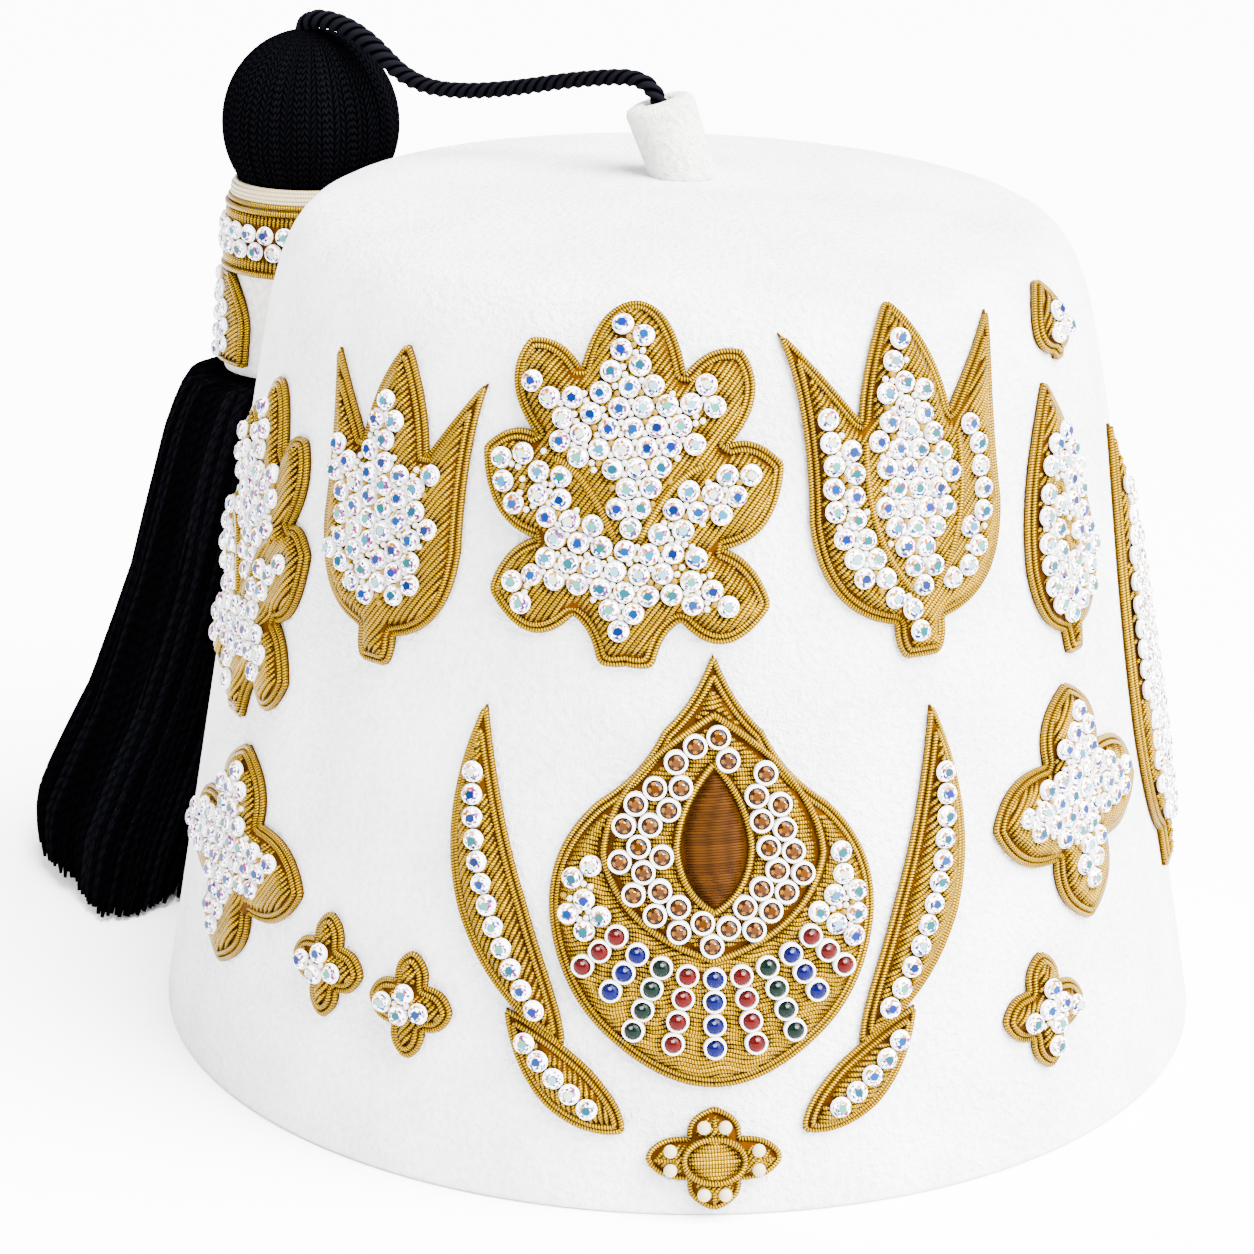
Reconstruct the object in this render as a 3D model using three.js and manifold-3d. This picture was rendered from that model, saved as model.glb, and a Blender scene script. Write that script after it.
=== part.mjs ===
// A white felt fez with raised gold embroidery, set stones, and a black tassel in a felt sleeve.
// Millimetres, +Z up, the front towards -Y, the origin on the table under the middle of the hat.

import * as THREE from "three";
import { mergeVertices } from "three/addons/utils/BufferGeometryUtils.js";
import Module from "manifold-3d";

const wasm = await Module();
wasm.setup();

// Driving dimensions of the crown
const RIM_HALF_WIDTH = 90;
const RIM_HALF_DEPTH = 99;
const CROWN_HEIGHT = 144;
const SIDE_TAPER = 0.166; // how far the side comes in for each millimetre up
const SHOULDER_HEIGHT = 41;
const SHOULDER_WIDTH = 14.5;
const SHOULDER_PULL = 0.605;
const TOP_DOME = 4.9;
const FELT = 2.5;
const RIM_ROUND = 0.8;
const TOP_LEAN = -1.3; // the top stands this much to the left of the rim
const TOP_TILT = -0.0147; // and is this much higher on the left, per millimetre across
const GAP = 0.3; // between pieces that are sewn or glued together
const FORWARD = 0.8; // puts the origin under the middle of the hat without its tassel

const ROUND_STEPS = 48;
const SHOULDER_STEPS = 4;
const TOP_STEPS = 3;
const FIELD_ROUND_STEPS = 24; // the raised fields clear everything, so their facets are larger

// Heights of the embroidery above the felt
const PAD_HEIGHT = 2.0;
const FIELD_FOOT = 1.7;
const FIELD_HEIGHT = 4.2;
const SILK_HEIGHT = 3.3;

const WHITE_FELT = { color: 0xf1efea, roughness: 0.95, metalness: 0 };
const GOLD_THREAD = { color: 0xd9a520, roughness: 0.35, metalness: 0.8 };
const BLACK_RAYON = { color: 0x0c0c12, roughness: 0.5, metalness: 0 };
const BROWN_SILK = { color: 0x5a2f14, roughness: 0.5, metalness: 0 };
const CREAM_THREAD = { color: 0xe9dcbc, roughness: 0.6, metalness: 0 };

// Solids and meshes

function signedVolume(vertices, triangles) {
  const [a, b, c] = [new THREE.Vector3(), new THREE.Vector3(), new THREE.Vector3()];
  let volume = 0;
  for (let i = 0; i < triangles.length; i += 3) {
    a.fromArray(vertices, 3 * triangles[i]);
    b.fromArray(vertices, 3 * triangles[i + 1]);
    c.fromArray(vertices, 3 * triangles[i + 2]);
    volume += a.dot(b.cross(c)) / 6;
  }
  return volume;
}

// Turns a closed geometry into a solid whose faces point outwards.
function solid(source) {
  const bare = source.clone();
  bare.deleteAttribute("normal");
  bare.deleteAttribute("uv");
  const merged = mergeVertices(bare, 1e-4);
  const vertices = merged.attributes.position.array;
  const triangles = [];
  const index = merged.index.array;
  for (let i = 0; i < index.length; i += 3) {
    const [a, b, c] = [index[i], index[i + 1], index[i + 2]];
    if (a !== b && b !== c && c !== a) triangles.push(a, b, c);
  }
  if (signedVolume(vertices, triangles) < 0) triangles.reverse();
  const mesh = new wasm.Mesh({
    numProp: 3,
    vertProperties: Float32Array.from(vertices),
    triVerts: Uint32Array.from(triangles),
  });
  return new wasm.Manifold(mesh);
}

function geometryOf(body) {
  const mesh = body.getMesh();
  const geometry = new THREE.BufferGeometry();
  geometry.setAttribute("position", new THREE.BufferAttribute(Float32Array.from(mesh.vertProperties), 3));
  geometry.setIndex(new THREE.BufferAttribute(Uint32Array.from(mesh.triVerts), 1));
  geometry.computeVertexNormals();
  return geometry;
}

function piece(name, body, finish) {
  const mesh = new THREE.Mesh(geometryOf(body), new THREE.MeshStandardMaterial(finish));
  mesh.name = name;
  return mesh;
}

// A closed or axis-to-axis outline of (radius, height) pairs, turned about +Z.
function turned(outline, steps) {
  const points = outline.map(([radius, height]) => new THREE.Vector2(radius, height));
  return new THREE.LatheGeometry(points, steps).rotateX(Math.PI / 2);
}

function moveVertices(geometry, move) {
  const position = geometry.attributes.position;
  const point = new THREE.Vector3();
  for (let i = 0; i < position.count; i += 1) {
    point.fromBufferAttribute(position, i);
    move(point);
    position.setXYZ(i, point.x, point.y, point.z);
  }
  return geometry;
}

// The crown's half section: straight side, rounded shoulder, low dome

const sideTop = new THREE.Vector2(
  RIM_HALF_WIDTH - SIDE_TAPER * (CROWN_HEIGHT - SHOULDER_HEIGHT),
  CROWN_HEIGHT - SHOULDER_HEIGHT,
);
const topEdge = new THREE.Vector2(sideTop.x - SHOULDER_WIDTH, CROWN_HEIGHT - TOP_DOME);
const sideWay = new THREE.Vector2(-SIDE_TAPER, 1).normalize();
const domeWay = new THREE.Vector2(1, (-2 * TOP_DOME) / topEdge.x).normalize();
const side = new THREE.LineCurve(new THREE.Vector2(RIM_HALF_WIDTH, 0), sideTop);
const shoulder = new THREE.CubicBezierCurve(
  sideTop,
  sideTop.clone().addScaledVector(sideWay, SHOULDER_PULL * SHOULDER_HEIGHT),
  topEdge.clone().addScaledVector(domeWay, SHOULDER_PULL * SHOULDER_WIDTH),
  topEdge,
);
const dome = new THREE.QuadraticBezierCurve(
  topEdge,
  new THREE.Vector2(topEdge.x / 2, CROWN_HEIGHT),
  new THREE.Vector2(0, CROWN_HEIGHT),
);
const SIDE_LENGTH = side.getLength();
const SHOULDER_LENGTH = shoulder.getLength();
const DOME_LENGTH = dome.getLength();

// The point of the section at a distance up the felt from the rim, lifted off the felt.
function sectionAt(slant, lift) {
  let curve = side;
  let part = slant / SIDE_LENGTH;
  if (slant > SIDE_LENGTH) {
    curve = shoulder;
    part = (slant - SIDE_LENGTH) / SHOULDER_LENGTH;
  }
  if (slant > SIDE_LENGTH + SHOULDER_LENGTH) {
    curve = dome;
    part = (slant - SIDE_LENGTH - SHOULDER_LENGTH) / DOME_LENGTH;
  }
  part = Math.min(part, 1);
  const point = curve.getPointAt(part);
  const way = curve.getTangentAt(part);
  return [Math.max(point.x + lift * way.y, 0), point.y - lift * way.x];
}

// Gives a round form the crown's oval, its lean and its tilt.
function settle(point) {
  point.y *= RIM_HALF_DEPTH / RIM_HALF_WIDTH;
  point.z += (TOP_TILT * point.x * point.z) / CROWN_HEIGHT;
  point.x += (TOP_LEAN * point.z) / CROWN_HEIGHT;
}

function onCrown(angle, slant, lift) {
  const [radius, height] = sectionAt(slant, lift);
  const point = new THREE.Vector3(radius * Math.sin(angle), -radius * Math.cos(angle), height);
  settle(point);
  return point;
}

const shoulderRows = Array.from(
  { length: SHOULDER_STEPS + 1 },
  (_, k) => SIDE_LENGTH + (k * SHOULDER_LENGTH) / SHOULDER_STEPS,
);
const domeRows = Array.from(
  { length: TOP_STEPS },
  (_, k) => SIDE_LENGTH + SHOULDER_LENGTH + ((k + 1) * DOME_LENGTH) / TOP_STEPS,
);

function makeCrown() {
  const rows = [...shoulderRows, ...domeRows];
  const inner = rows.map((slant) => sectionAt(slant, -FELT)).reverse();
  inner[0][0] = 0;
  const [innerRim] = sectionAt(0, -FELT);
  const rim = [[innerRim, 0], [RIM_HALF_WIDTH - RIM_ROUND, 0], sectionAt(RIM_ROUND, 0)];
  const outer = rows.map((slant) => sectionAt(slant, 0));
  const geometry = turned([...inner, ...rim, ...outer], ROUND_STEPS);
  return solid(moveVertices(geometry, settle));
}

// Embroidery: flat motifs laid on the crown

// A skin over the crown between two heights above the felt. A pad's has the crown's own facets.
function skin(low, high, steps) {
  const rows = [RIM_ROUND, ...shoulderRows];
  const outer = rows.map((slant) => sectionAt(slant, high));
  const inner = rows.map((slant) => sectionAt(slant, low)).reverse();
  const geometry = turned([...inner, ...outer, inner[0]], steps);
  return solid(moveVertices(geometry, settle));
}

const padSkin = skin(GAP, PAD_HEIGHT, ROUND_STEPS);
const fieldSkin = skin(FIELD_FOOT, FIELD_HEIGHT, FIELD_ROUND_STEPS);
const silkSkin = skin(PAD_HEIGHT + GAP, SILK_HEIGHT, ROUND_STEPS);

// Half outlines from the bottom middle to the top middle, in half widths and half heights.
// Columns: end across, end up, pull across, pull up. Each row is one curve.
const TULIP = [
  [0.16, -1.0, 0.08, -1.0],
  [0.22, -0.8, 0.24, -0.92],
  [0.9, -0.2, 0.86, -0.72],
  [1.0, 0.86, 0.84, 0.42],
  [0.42, 0.34, 0.6, 0.52],
  [0.0, 1.0, 0.34, 0.72],
];
const PALMETTE = [
  [0.18, -1.0, 0.09, -1.02],
  [0.36, -0.74, 0.22, -0.8],
  [0.94, -0.66, 0.66, -1.02],
  [0.6, -0.34, 0.84, -0.4],
  [1.0, 0.12, 0.98, -0.3],
  [0.62, 0.22, 0.8, 0.3],
  [0.7, 0.74, 0.92, 0.5],
  [0.34, 0.6, 0.48, 0.78],
  [0.0, 1.0, 0.24, 0.98],
];
const CYPRESS = [
  [0.2, -1.0, 0.1, -1.0],
  [0.26, -0.82, 0.22, -0.92],
  [1.0, -0.3, 0.92, -0.74],
  [0.0, 1.0, 0.98, 0.34],
];
const PETALS = [
  [0.36, -0.4, 0.44, -0.8],
  [1.0, 0.0, 0.84, -0.44],
  [0.36, 0.4, 0.84, 0.44],
  [0.0, 1.0, 0.44, 0.8],
];
const POMEGRANATE = [
  [0.62, -0.8, 0.3, -1.0],
  [1.0, -0.26, 0.95, -0.6],
  [0.7, 0.3, 1.04, 0.06],
  [0.3, 0.64, 0.42, 0.44],
  [0.0, 1.0, 0.1, 0.78],
];
const LEAF = [
  [1.0, -0.15, 0.9, -0.75],
  [0.0, 1.0, 0.95, 0.45],
];

// The closed outline of a motif in millimetres, both halves.
function outlineOf(half, width, height, steps) {
  const right = [];
  let from = new THREE.Vector2(0, -1);
  for (const [across, up, pullAcross, pullUp] of half) {
    const to = new THREE.Vector2(across, up);
    const curve = new THREE.QuadraticBezierCurve(from, new THREE.Vector2(pullAcross, pullUp), to);
    right.push(...curve.getPoints(steps).slice(0, -1));
    from = to;
  }
  right.push(new THREE.Vector2(0, 1));
  const left = right.slice(1, -1).reverse().map((point) => new THREE.Vector2(-point.x, point.y));
  const size = new THREE.Vector2(width / 2, height / 2);
  return [...right, ...left].map((point) => point.clone().multiply(size));
}

const degrees = THREE.MathUtils.degToRad;

// Where a point of a motif lies on the crown. A motif can be bent sideways and turned in its plane.
function placed(motif, point, lift) {
  const bent = new THREE.Vector2(point.x + (motif.bend ?? 0) * point.y * point.y, point.y);
  bent.rotateAround(new THREE.Vector2(), degrees(motif.turn ?? 0));
  const slant = motif.slant + bent.y;
  const [radius] = sectionAt(slant, 0);
  return onCrown(degrees(motif.angle) + bent.x / radius, slant, lift);
}

// The block that cuts a motif out of a skin: its outline drawn through the felt along the lines
// that stand square on it.
const BLOCK_LOW = -8;
const BLOCK_HIGH = 12;

function blockOf(motif, outline) {
  const count = outline.length;
  const ends = [BLOCK_LOW, BLOCK_HIGH].map((lift) => outline.map((point) => placed(motif, point, lift)));
  const index = [];
  for (const [a, b, c] of THREE.ShapeUtils.triangulateShape(outline, [])) {
    index.push(c, b, a);
    index.push(a + count, b + count, c + count);
  }
  for (let i = 0; i < count; i += 1) {
    const next = (i + 1) % count;
    index.push(i, next, next + count);
    index.push(i, next + count, i + count);
  }
  const geometry = new THREE.BufferGeometry().setFromPoints(ends.flat());
  geometry.setIndex(index);
  return solid(geometry);
}

const EDGE_STEPS = 2;
const FIELD_STEPS = 1;

// A gold pad with the raised field that its crystals fill.
function makeMotif(motif) {
  const outline = outlineOf(motif.half, motif.width, motif.height, EDGE_STEPS);
  const pad = padSkin.intersect(blockOf(motif, outline));
  if (!motif.field) return pad;
  const [shareAcross, shareUp, shift] = motif.field;
  const inner = outlineOf(motif.half, motif.width * shareAcross, motif.height * shareUp, FIELD_STEPS);
  for (const point of inner) point.x += shift;
  return pad.add(fieldSkin.intersect(blockOf(motif, inner)));
}

// The medallion in the middle of the front, with its cut stones set in rows
const MEDALLION = { half: POMEGRANATE, angle: 3, slant: 54.5, width: 50, height: 67 };
const STONE_FACETS = 8;
const STONE_RADIUS = 1.75;
const TABLE_RADIUS = 0.95;
const STONE_FOOT = 1.2;
const STONE_TOP = 4.4;
const SEED = { width: 10, height: 22 };
const AMBER = { width: 33, height: 38, up: 5.5 }; // the raised field of amber stones round the seed
const WELL = { width: 11.2, height: 23.2 }; // the seed's place in that field
const FAN = { up: 4, rays: 9, spread: 92, first: 20.2, pitch: 3.6, rows: 3 };

function stoneAt(point) {
  const depth = STONE_TOP - STONE_FOOT;
  const stone = new THREE.CylinderGeometry(TABLE_RADIUS, STONE_RADIUS, depth, STONE_FACETS);
  stone.translate(0, (STONE_TOP + STONE_FOOT) / 2, 0);
  const foot = placed(MEDALLION, point, 0);
  const out = placed(MEDALLION, point, 1).sub(foot).normalize();
  const turn = new THREE.Quaternion().setFromUnitVectors(new THREE.Vector3(0, 1, 0), out);
  stone.applyQuaternion(turn).translate(foot.x, foot.y, foot.z);
  return solid(stone);
}

// Coloured stones in rays under the seed
function fanPlaces() {
  const places = [];
  for (let ray = 0; ray < FAN.rays; ray += 1) {
    const angle = degrees(-90 + FAN.spread * (ray / (FAN.rays - 1) - 0.5));
    for (let row = 0; row < FAN.rows; row += 1) {
      const reach = FAN.first + FAN.pitch * row;
      places.push(new THREE.Vector2(reach * Math.cos(angle), FAN.up + reach * Math.sin(angle)));
    }
  }
  return places;
}

// A leaf-shaped outline in the upper part of the medallion
function upperOutline({ width, height }) {
  const outline = outlineOf(LEAF, width, height, EDGE_STEPS);
  for (const point of outline) point.y += AMBER.up;
  return outline;
}

function makeMedallion() {
  const outline = outlineOf(MEDALLION.half, MEDALLION.width, MEDALLION.height, EDGE_STEPS);
  const pad = padSkin.intersect(blockOf(MEDALLION, outline));
  const well = blockOf(MEDALLION, upperOutline(WELL));
  const amberField = fieldSkin.intersect(blockOf(MEDALLION, upperOutline(AMBER))).subtract(well);
  return fanPlaces().map(stoneAt).reduce((body, stone) => body.add(stone), pad.add(amberField));
}

function makeSeed() {
  return silkSkin.intersect(blockOf(MEDALLION, upperOutline(SEED)));
}

// The other motifs. angle is measured from the front, to the right, in degrees; slant is the height
// of the middle up the felt; field is the crystals' share of the width and height, and their shift.
const WIDE = [0.74, 0.78, -1.4];
const SLIM = [0.62, 0.8, -0.8];
const SINGLE_ROW = [0.55, 0.84, 0];
const MOTIFS = [
  { name: "palmette_left", half: PALMETTE, angle: -66, slant: 89, width: 35, height: 56, field: WIDE },
  { name: "tulip_left", half: TULIP, angle: -39, slant: 105, width: 31, height: 50, field: WIDE },
  { name: "palmette_front", half: PALMETTE, angle: -7, slant: 113.5, width: 46, height: 55, field: WIDE },
  { name: "tulip_right", half: TULIP, angle: 28.5, slant: 113, width: 38, height: 55, field: WIDE },
  { name: "cypress_small", half: CYPRESS, angle: 54, slant: 101, width: 20, height: 44, field: SLIM },
  { name: "bud_right", half: CYPRESS, angle: 59, slant: 132, width: 11, height: 13, field: SLIM },
  { name: "cypress_tall", half: CYPRESS, angle: 77, slant: 70, width: 21, height: 78, field: SLIM },
  { name: "flower_left", half: PETALS, angle: -61, slant: 39, width: 42, height: 37, field: WIDE },
  { name: "flower_right", half: PETALS, angle: 51, slant: 55, width: 40, height: 39, field: WIDE },
  { name: "sprig_left_outer", half: PETALS, angle: -41.5, slant: 30, width: 15, height: 17, field: SLIM },
  { name: "sprig_left_inner", half: PETALS, angle: -30, slant: 28, width: 15, height: 17, field: SLIM },
  { name: "sprig_right", half: PETALS, angle: 42, slant: 24, width: 18, height: 19, field: SLIM },
  { name: "drop_front", half: PETALS, angle: 3, slant: 9.5, width: 21, height: 16 },
];

// The leaves beside the medallion come in pairs, the same on both sides of it.
const LEAVES = [
  { name: "long", half: LEAF, across: 25, slant: 50, width: 11, height: 54, turn: 17, bend: 0.009 },
  { name: "short", half: LEAF, across: 16, slant: 21, width: 9, height: 26, turn: 48, bend: 0.008 },
];

function leafOn(sideSign, leaf) {
  return {
    ...leaf,
    angle: MEDALLION.angle + sideSign * leaf.across,
    turn: -sideSign * leaf.turn,
    bend: -sideSign * leaf.bend,
    field: SINGLE_ROW,
  };
}

// The felt stem on top, leaning to the left and back, with the hole that the cord comes out of
const STEM_RADIUS = 5.75;
const STEM_HEIGHT = 11.7;
const STEM_HOLE = 2.3;
const STEM_HOLE_DEPTH = 3.6;
const STEM_ROUND = 1.3;
const STEM_FOOT = new THREE.Vector3(-1.5, 0.5, CROWN_HEIGHT + GAP + 0.15);
const STEM_LEAN = new THREE.Vector2(-4.2, 2.4);
const STEM_TILT = 0.32; // its top is cut square to its lean, so it is higher on the right
const STEM_STEPS = 14;

function makeStem() {
  const outline = [
    [0, 0],
    [STEM_RADIUS - 0.3, 0],
    [STEM_RADIUS, 0.6],
    [STEM_RADIUS, STEM_HEIGHT - STEM_ROUND],
    [STEM_RADIUS - 0.4, STEM_HEIGHT - 0.4],
    [STEM_RADIUS - STEM_ROUND, STEM_HEIGHT],
    [STEM_HOLE + 0.5, STEM_HEIGHT],
    [STEM_HOLE, STEM_HEIGHT - 0.8],
    [STEM_HOLE, STEM_HEIGHT - STEM_HOLE_DEPTH],
    [0, STEM_HEIGHT - STEM_HOLE_DEPTH],
  ];
  const geometry = moveVertices(turned(outline, STEM_STEPS), (point) => {
    const part = point.z / STEM_HEIGHT;
    point.z += STEM_TILT * part * point.x;
    point.x += STEM_LEAN.x * part;
    point.y += STEM_LEAN.y * part;
  });
  return solid(geometry.translate(STEM_FOOT.x, STEM_FOOT.y, STEM_FOOT.z));
}

// The cord from the stem to the top of the tassel's ball, sagging between them
const CORD_RADIUS = 1.35;
const CORD_SIDES = 8;
const CORD_STEPS = 28;
const CORD_ROUTE = [
  [-4.75, 2.4, 153.6],
  [-5.3, 2.8, 155.3],
  [-6.2, 3.5, 157.2],
  [-7.8, 4.9, 158.6],
  [-10.3, 7.1, 159.1],
  [-13.4, 9.7, 158.7],
  [-17.0, 12.8, 157.9],
  [-21.2, 16.4, 156.8],
  [-26.2, 20.7, 155.3],
  [-31.4, 25.2, 153.8],
  [-36.6, 29.6, 152.6],
  [-41.2, 33.6, 151.9],
  [-45.4, 37.2, 151.8],
  [-48.8, 40.1, 152.6],
  [-51.5, 42.4, 153.9],
  [-54.0, 44.6, 155.8],
  [-56.6, 46.8, 157.8],
  [-59.6, 49.4, 159.4],
  [-63.0, 52.3, 160.4],
  [-66.2, 55.0, 160.5],
  [-67.8, 56.4, 159.9],
];

function makeCord() {
  const points = CORD_ROUTE.map((point) => new THREE.Vector3(...point));
  const route = new THREE.CatmullRomCurve3(points, false, "centripetal");
  const section = new THREE.Shape();
  for (let k = 0; k < CORD_SIDES; k += 1) {
    const angle = (2 * Math.PI * (k + 0.5)) / CORD_SIDES;
    const draw = k === 0 ? "moveTo" : "lineTo";
    section[draw](CORD_RADIUS * Math.cos(angle), CORD_RADIUS * Math.sin(angle));
  }
  section.closePath();
  const sweep = { steps: CORD_STEPS, extrudePath: route, curveSegments: 1 };
  return solid(new THREE.ExtrudeGeometry(section, sweep));
}

// The tassel stands in a frame of its own, with +X away from the crown's side and the origin at the
// foot of that side.
const TASSEL_ANGLE = degrees(-128);

const BALL_RADIUS = 16;
const BALL_CENTRE = new THREE.Vector3(-5.2, 1.4, 142.6);
const BALL_RIBS = 12;
const BALL_RIB_DEPTH = 0.35;
const BALL_ROWS = 10;
const BALL_SEAT_RADIUS = 6.7; // the ball is pressed flat where it rests on the sleeve

function makeBall() {
  const geometry = new THREE.SphereGeometry(BALL_RADIUS, 2 * BALL_RIBS, BALL_ROWS).rotateX(Math.PI / 2);
  const seat = Math.sqrt(BALL_RADIUS ** 2 - BALL_SEAT_RADIUS ** 2);
  moveVertices(geometry, (point) => {
    const turn = Math.atan2(point.y, point.x);
    const ridge = 1 - (BALL_RIB_DEPTH / BALL_RADIUS) * (1 + Math.cos(BALL_RIBS * turn));
    point.x *= ridge;
    point.y *= ridge;
    point.z = Math.max(point.z, -seat);
  });
  return solid(geometry.translate(BALL_CENTRE.x, BALL_CENTRE.y, BALL_CENTRE.z));
}

// The felt sleeve that holds the tassel to the crown, and its embroidery
const SLEEVE = {
  foot: 96.2,
  top: 130.4,
  radiusFoot: 13.4,
  radiusTop: 13.6,
  axisFoot: new THREE.Vector2(-1.8, 2.5),
  axisTop: new THREE.Vector2(-5.1, 1.5),
};
const SLEEVE_STEPS = 24;
const SLEEVE_THREAD = { foot: 128.4, top: 130.4, height: 1.3, middle: 0, turn: degrees(240) };
const SLEEVE_BAND = { foot: 115.6, top: 128, height: 3.4, middle: 0, turn: degrees(240) };
const SLEEVE_STRIP = { foot: 98, top: 115.2, height: 3.4, middle: degrees(75), turn: degrees(75) };

// Leans an upright round form along the sleeve's axis.
function alongSleeve(geometry) {
  return moveVertices(geometry, (point) => {
    const part = (point.z - SLEEVE.foot) / (SLEEVE.top - SLEEVE.foot);
    point.x += THREE.MathUtils.lerp(SLEEVE.axisFoot.x, SLEEVE.axisTop.x, part);
    point.y += THREE.MathUtils.lerp(SLEEVE.axisFoot.y, SLEEVE.axisTop.y, part);
  });
}

function sleeveRadius(height) {
  return THREE.MathUtils.mapLinear(height, SLEEVE.foot, SLEEVE.top, SLEEVE.radiusFoot, SLEEVE.radiusTop);
}

function makeSleeve() {
  const outline = [
    [SLEEVE.radiusFoot - FELT, SLEEVE.foot],
    [SLEEVE.radiusFoot, SLEEVE.foot],
    [SLEEVE.radiusTop, SLEEVE.top],
    [SLEEVE.radiusTop - FELT, SLEEVE.top],
  ];
  return solid(alongSleeve(turned([...outline, outline[0]], SLEEVE_STEPS)));
}

// Embroidery round the outer side of the sleeve: a rounded section swept through part of a turn
function makeBand(band) {
  const steps = Math.round((SLEEVE_STEPS * band.turn) / (2 * Math.PI));
  const low = sleeveRadius(band.foot) + GAP;
  const high = sleeveRadius(band.top) + GAP;
  const quarter = (band.top - band.foot) / 4;
  const section = [
    [low, band.foot],
    [low + 0.6 * band.height, band.foot],
    [low + band.height, band.foot + quarter],
    [high + band.height, band.top - quarter],
    [high + 0.6 * band.height, band.top],
    [high, band.top],
  ];
  const size = section.length;
  const points = [];
  for (let k = 0; k <= steps; k += 1) {
    const angle = band.middle + band.turn * (k / steps - 0.5);
    for (const [radius, level] of section) {
      points.push(new THREE.Vector3(radius * Math.cos(angle), radius * Math.sin(angle), level));
    }
  }
  const index = [];
  for (let k = 0; k < steps; k += 1) {
    for (let i = 0; i < size; i += 1) {
      const a = k * size + i;
      const b = k * size + ((i + 1) % size);
      index.push(a, b, b + size, a, b + size, a + size);
    }
  }
  const last = steps * size;
  for (let i = 1; i < size - 1; i += 1) index.push(0, i + 1, i, last, last + i, last + i + 1);
  const geometry = new THREE.BufferGeometry().setFromPoints(points);
  geometry.setIndex(index);
  return solid(alongSleeve(geometry));
}

// The fringe's oval sections, from the top. Columns: height, outer face, half width.
const FRINGE = [
  [95.6, 11.0, 12.5],
  [94.6, 17.6, 16.0],
  [91.0, 20.2, 17.4],
  [83.0, 23.6, 19.0],
  [69.0, 27.2, 22.0],
  [57.0, 30.6, 25.0],
  [46.0, 35.0, 28.5],
  [34.0, 39.8, 32.0],
  [22.0, 46.8, 36.5],
  [12.0, 51.2, 40.0],
  [1.5, 49.2, 41.0],
];
const FRINGE_SHIFT = 5.5; // its middle stands this far towards the front
const FRINGE_WRAP = 95; // and it bends round the crown to this radius
const FRINGE_CLEARANCE = 1.0;
const SIDE_SLOPE = 0.172; // the crown's side, in the tassel's frame
const LOCKS = 16;
const LOCK_POINTS = 3;
const LOCK_GROOVE = 0.07;
const LOCK_ENDS = [0, 1.7, 0.6, 2.4, 0.3, 1.3]; // how much shorter one lock is than the longest
const FRINGE_HOLLOW = 0.55;
const FRINGE_HOLLOW_TOP = 6;

function fringeMiddle([height, outer]) {
  return (outer + FRINGE_CLEARANCE - SIDE_SLOPE * height) / 2;
}

function fringeRing(row, scale, heightOf) {
  const [, outer, halfWidth] = row;
  const middle = fringeMiddle(row);
  return Array.from({ length: LOCKS * LOCK_POINTS }, (_, k) => {
    const angle = (2 * Math.PI * k) / (LOCKS * LOCK_POINTS);
    const reach = k % LOCK_POINTS === 0 ? scale * (1 - LOCK_GROOVE) : scale;
    const sideways = FRINGE_SHIFT + reach * halfWidth * Math.sin(angle);
    const outwards = middle + reach * (outer - middle) * Math.cos(angle);
    const height = heightOf(Math.floor(k / LOCK_POINTS));
    return new THREE.Vector3(outwards - sideways ** 2 / (2 * FRINGE_WRAP), sideways, height);
  });
}

function makeFringe() {
  const around = LOCKS * LOCK_POINTS;
  const lowest = FRINGE.at(-1);
  const rings = FRINGE.slice(0, -1).map((row) => fringeRing(row, 1, () => row[0]));
  rings.push(fringeRing(lowest, 1, (lock) => lowest[0] + LOCK_ENDS[lock % LOCK_ENDS.length]));
  rings.push(fringeRing(lowest, FRINGE_HOLLOW, () => FRINGE_HOLLOW_TOP));
  const points = rings.flat();
  const index = [];
  for (let ring = 0; ring < rings.length - 1; ring += 1) {
    for (let k = 0; k < around; k += 1) {
      const a = ring * around + k;
      const b = ring * around + ((k + 1) % around);
      index.push(a, a + around, b + around, a, b + around, b);
    }
  }
  const top = points.push(new THREE.Vector3(fringeMiddle(FRINGE[0]), FRINGE_SHIFT, FRINGE[0][0])) - 1;
  const foot = points.push(new THREE.Vector3(fringeMiddle(lowest), FRINGE_SHIFT, FRINGE_HOLLOW_TOP)) - 1;
  const lastRing = (rings.length - 1) * around;
  for (let k = 0; k < around; k += 1) {
    const next = (k + 1) % around;
    index.push(top, k, next, foot, lastRing + next, lastRing + k);
  }
  const geometry = new THREE.BufferGeometry().setFromPoints(points);
  geometry.setIndex(index);
  return solid(geometry).add(makeNeck());
}

// The cords' bundle inside the sleeve, from the fringe up to the ball
const NECK_FOOT = 93;
const NECK_TOP = 127.7;

function makeNeck() {
  const radius = SLEEVE.radiusFoot - FELT - GAP;
  const outline = [[0, NECK_FOOT], [radius, NECK_FOOT], [radius, NECK_TOP], [0, NECK_TOP]];
  return solid(alongSleeve(turned(outline, SLEEVE_STEPS)));
}

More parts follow.
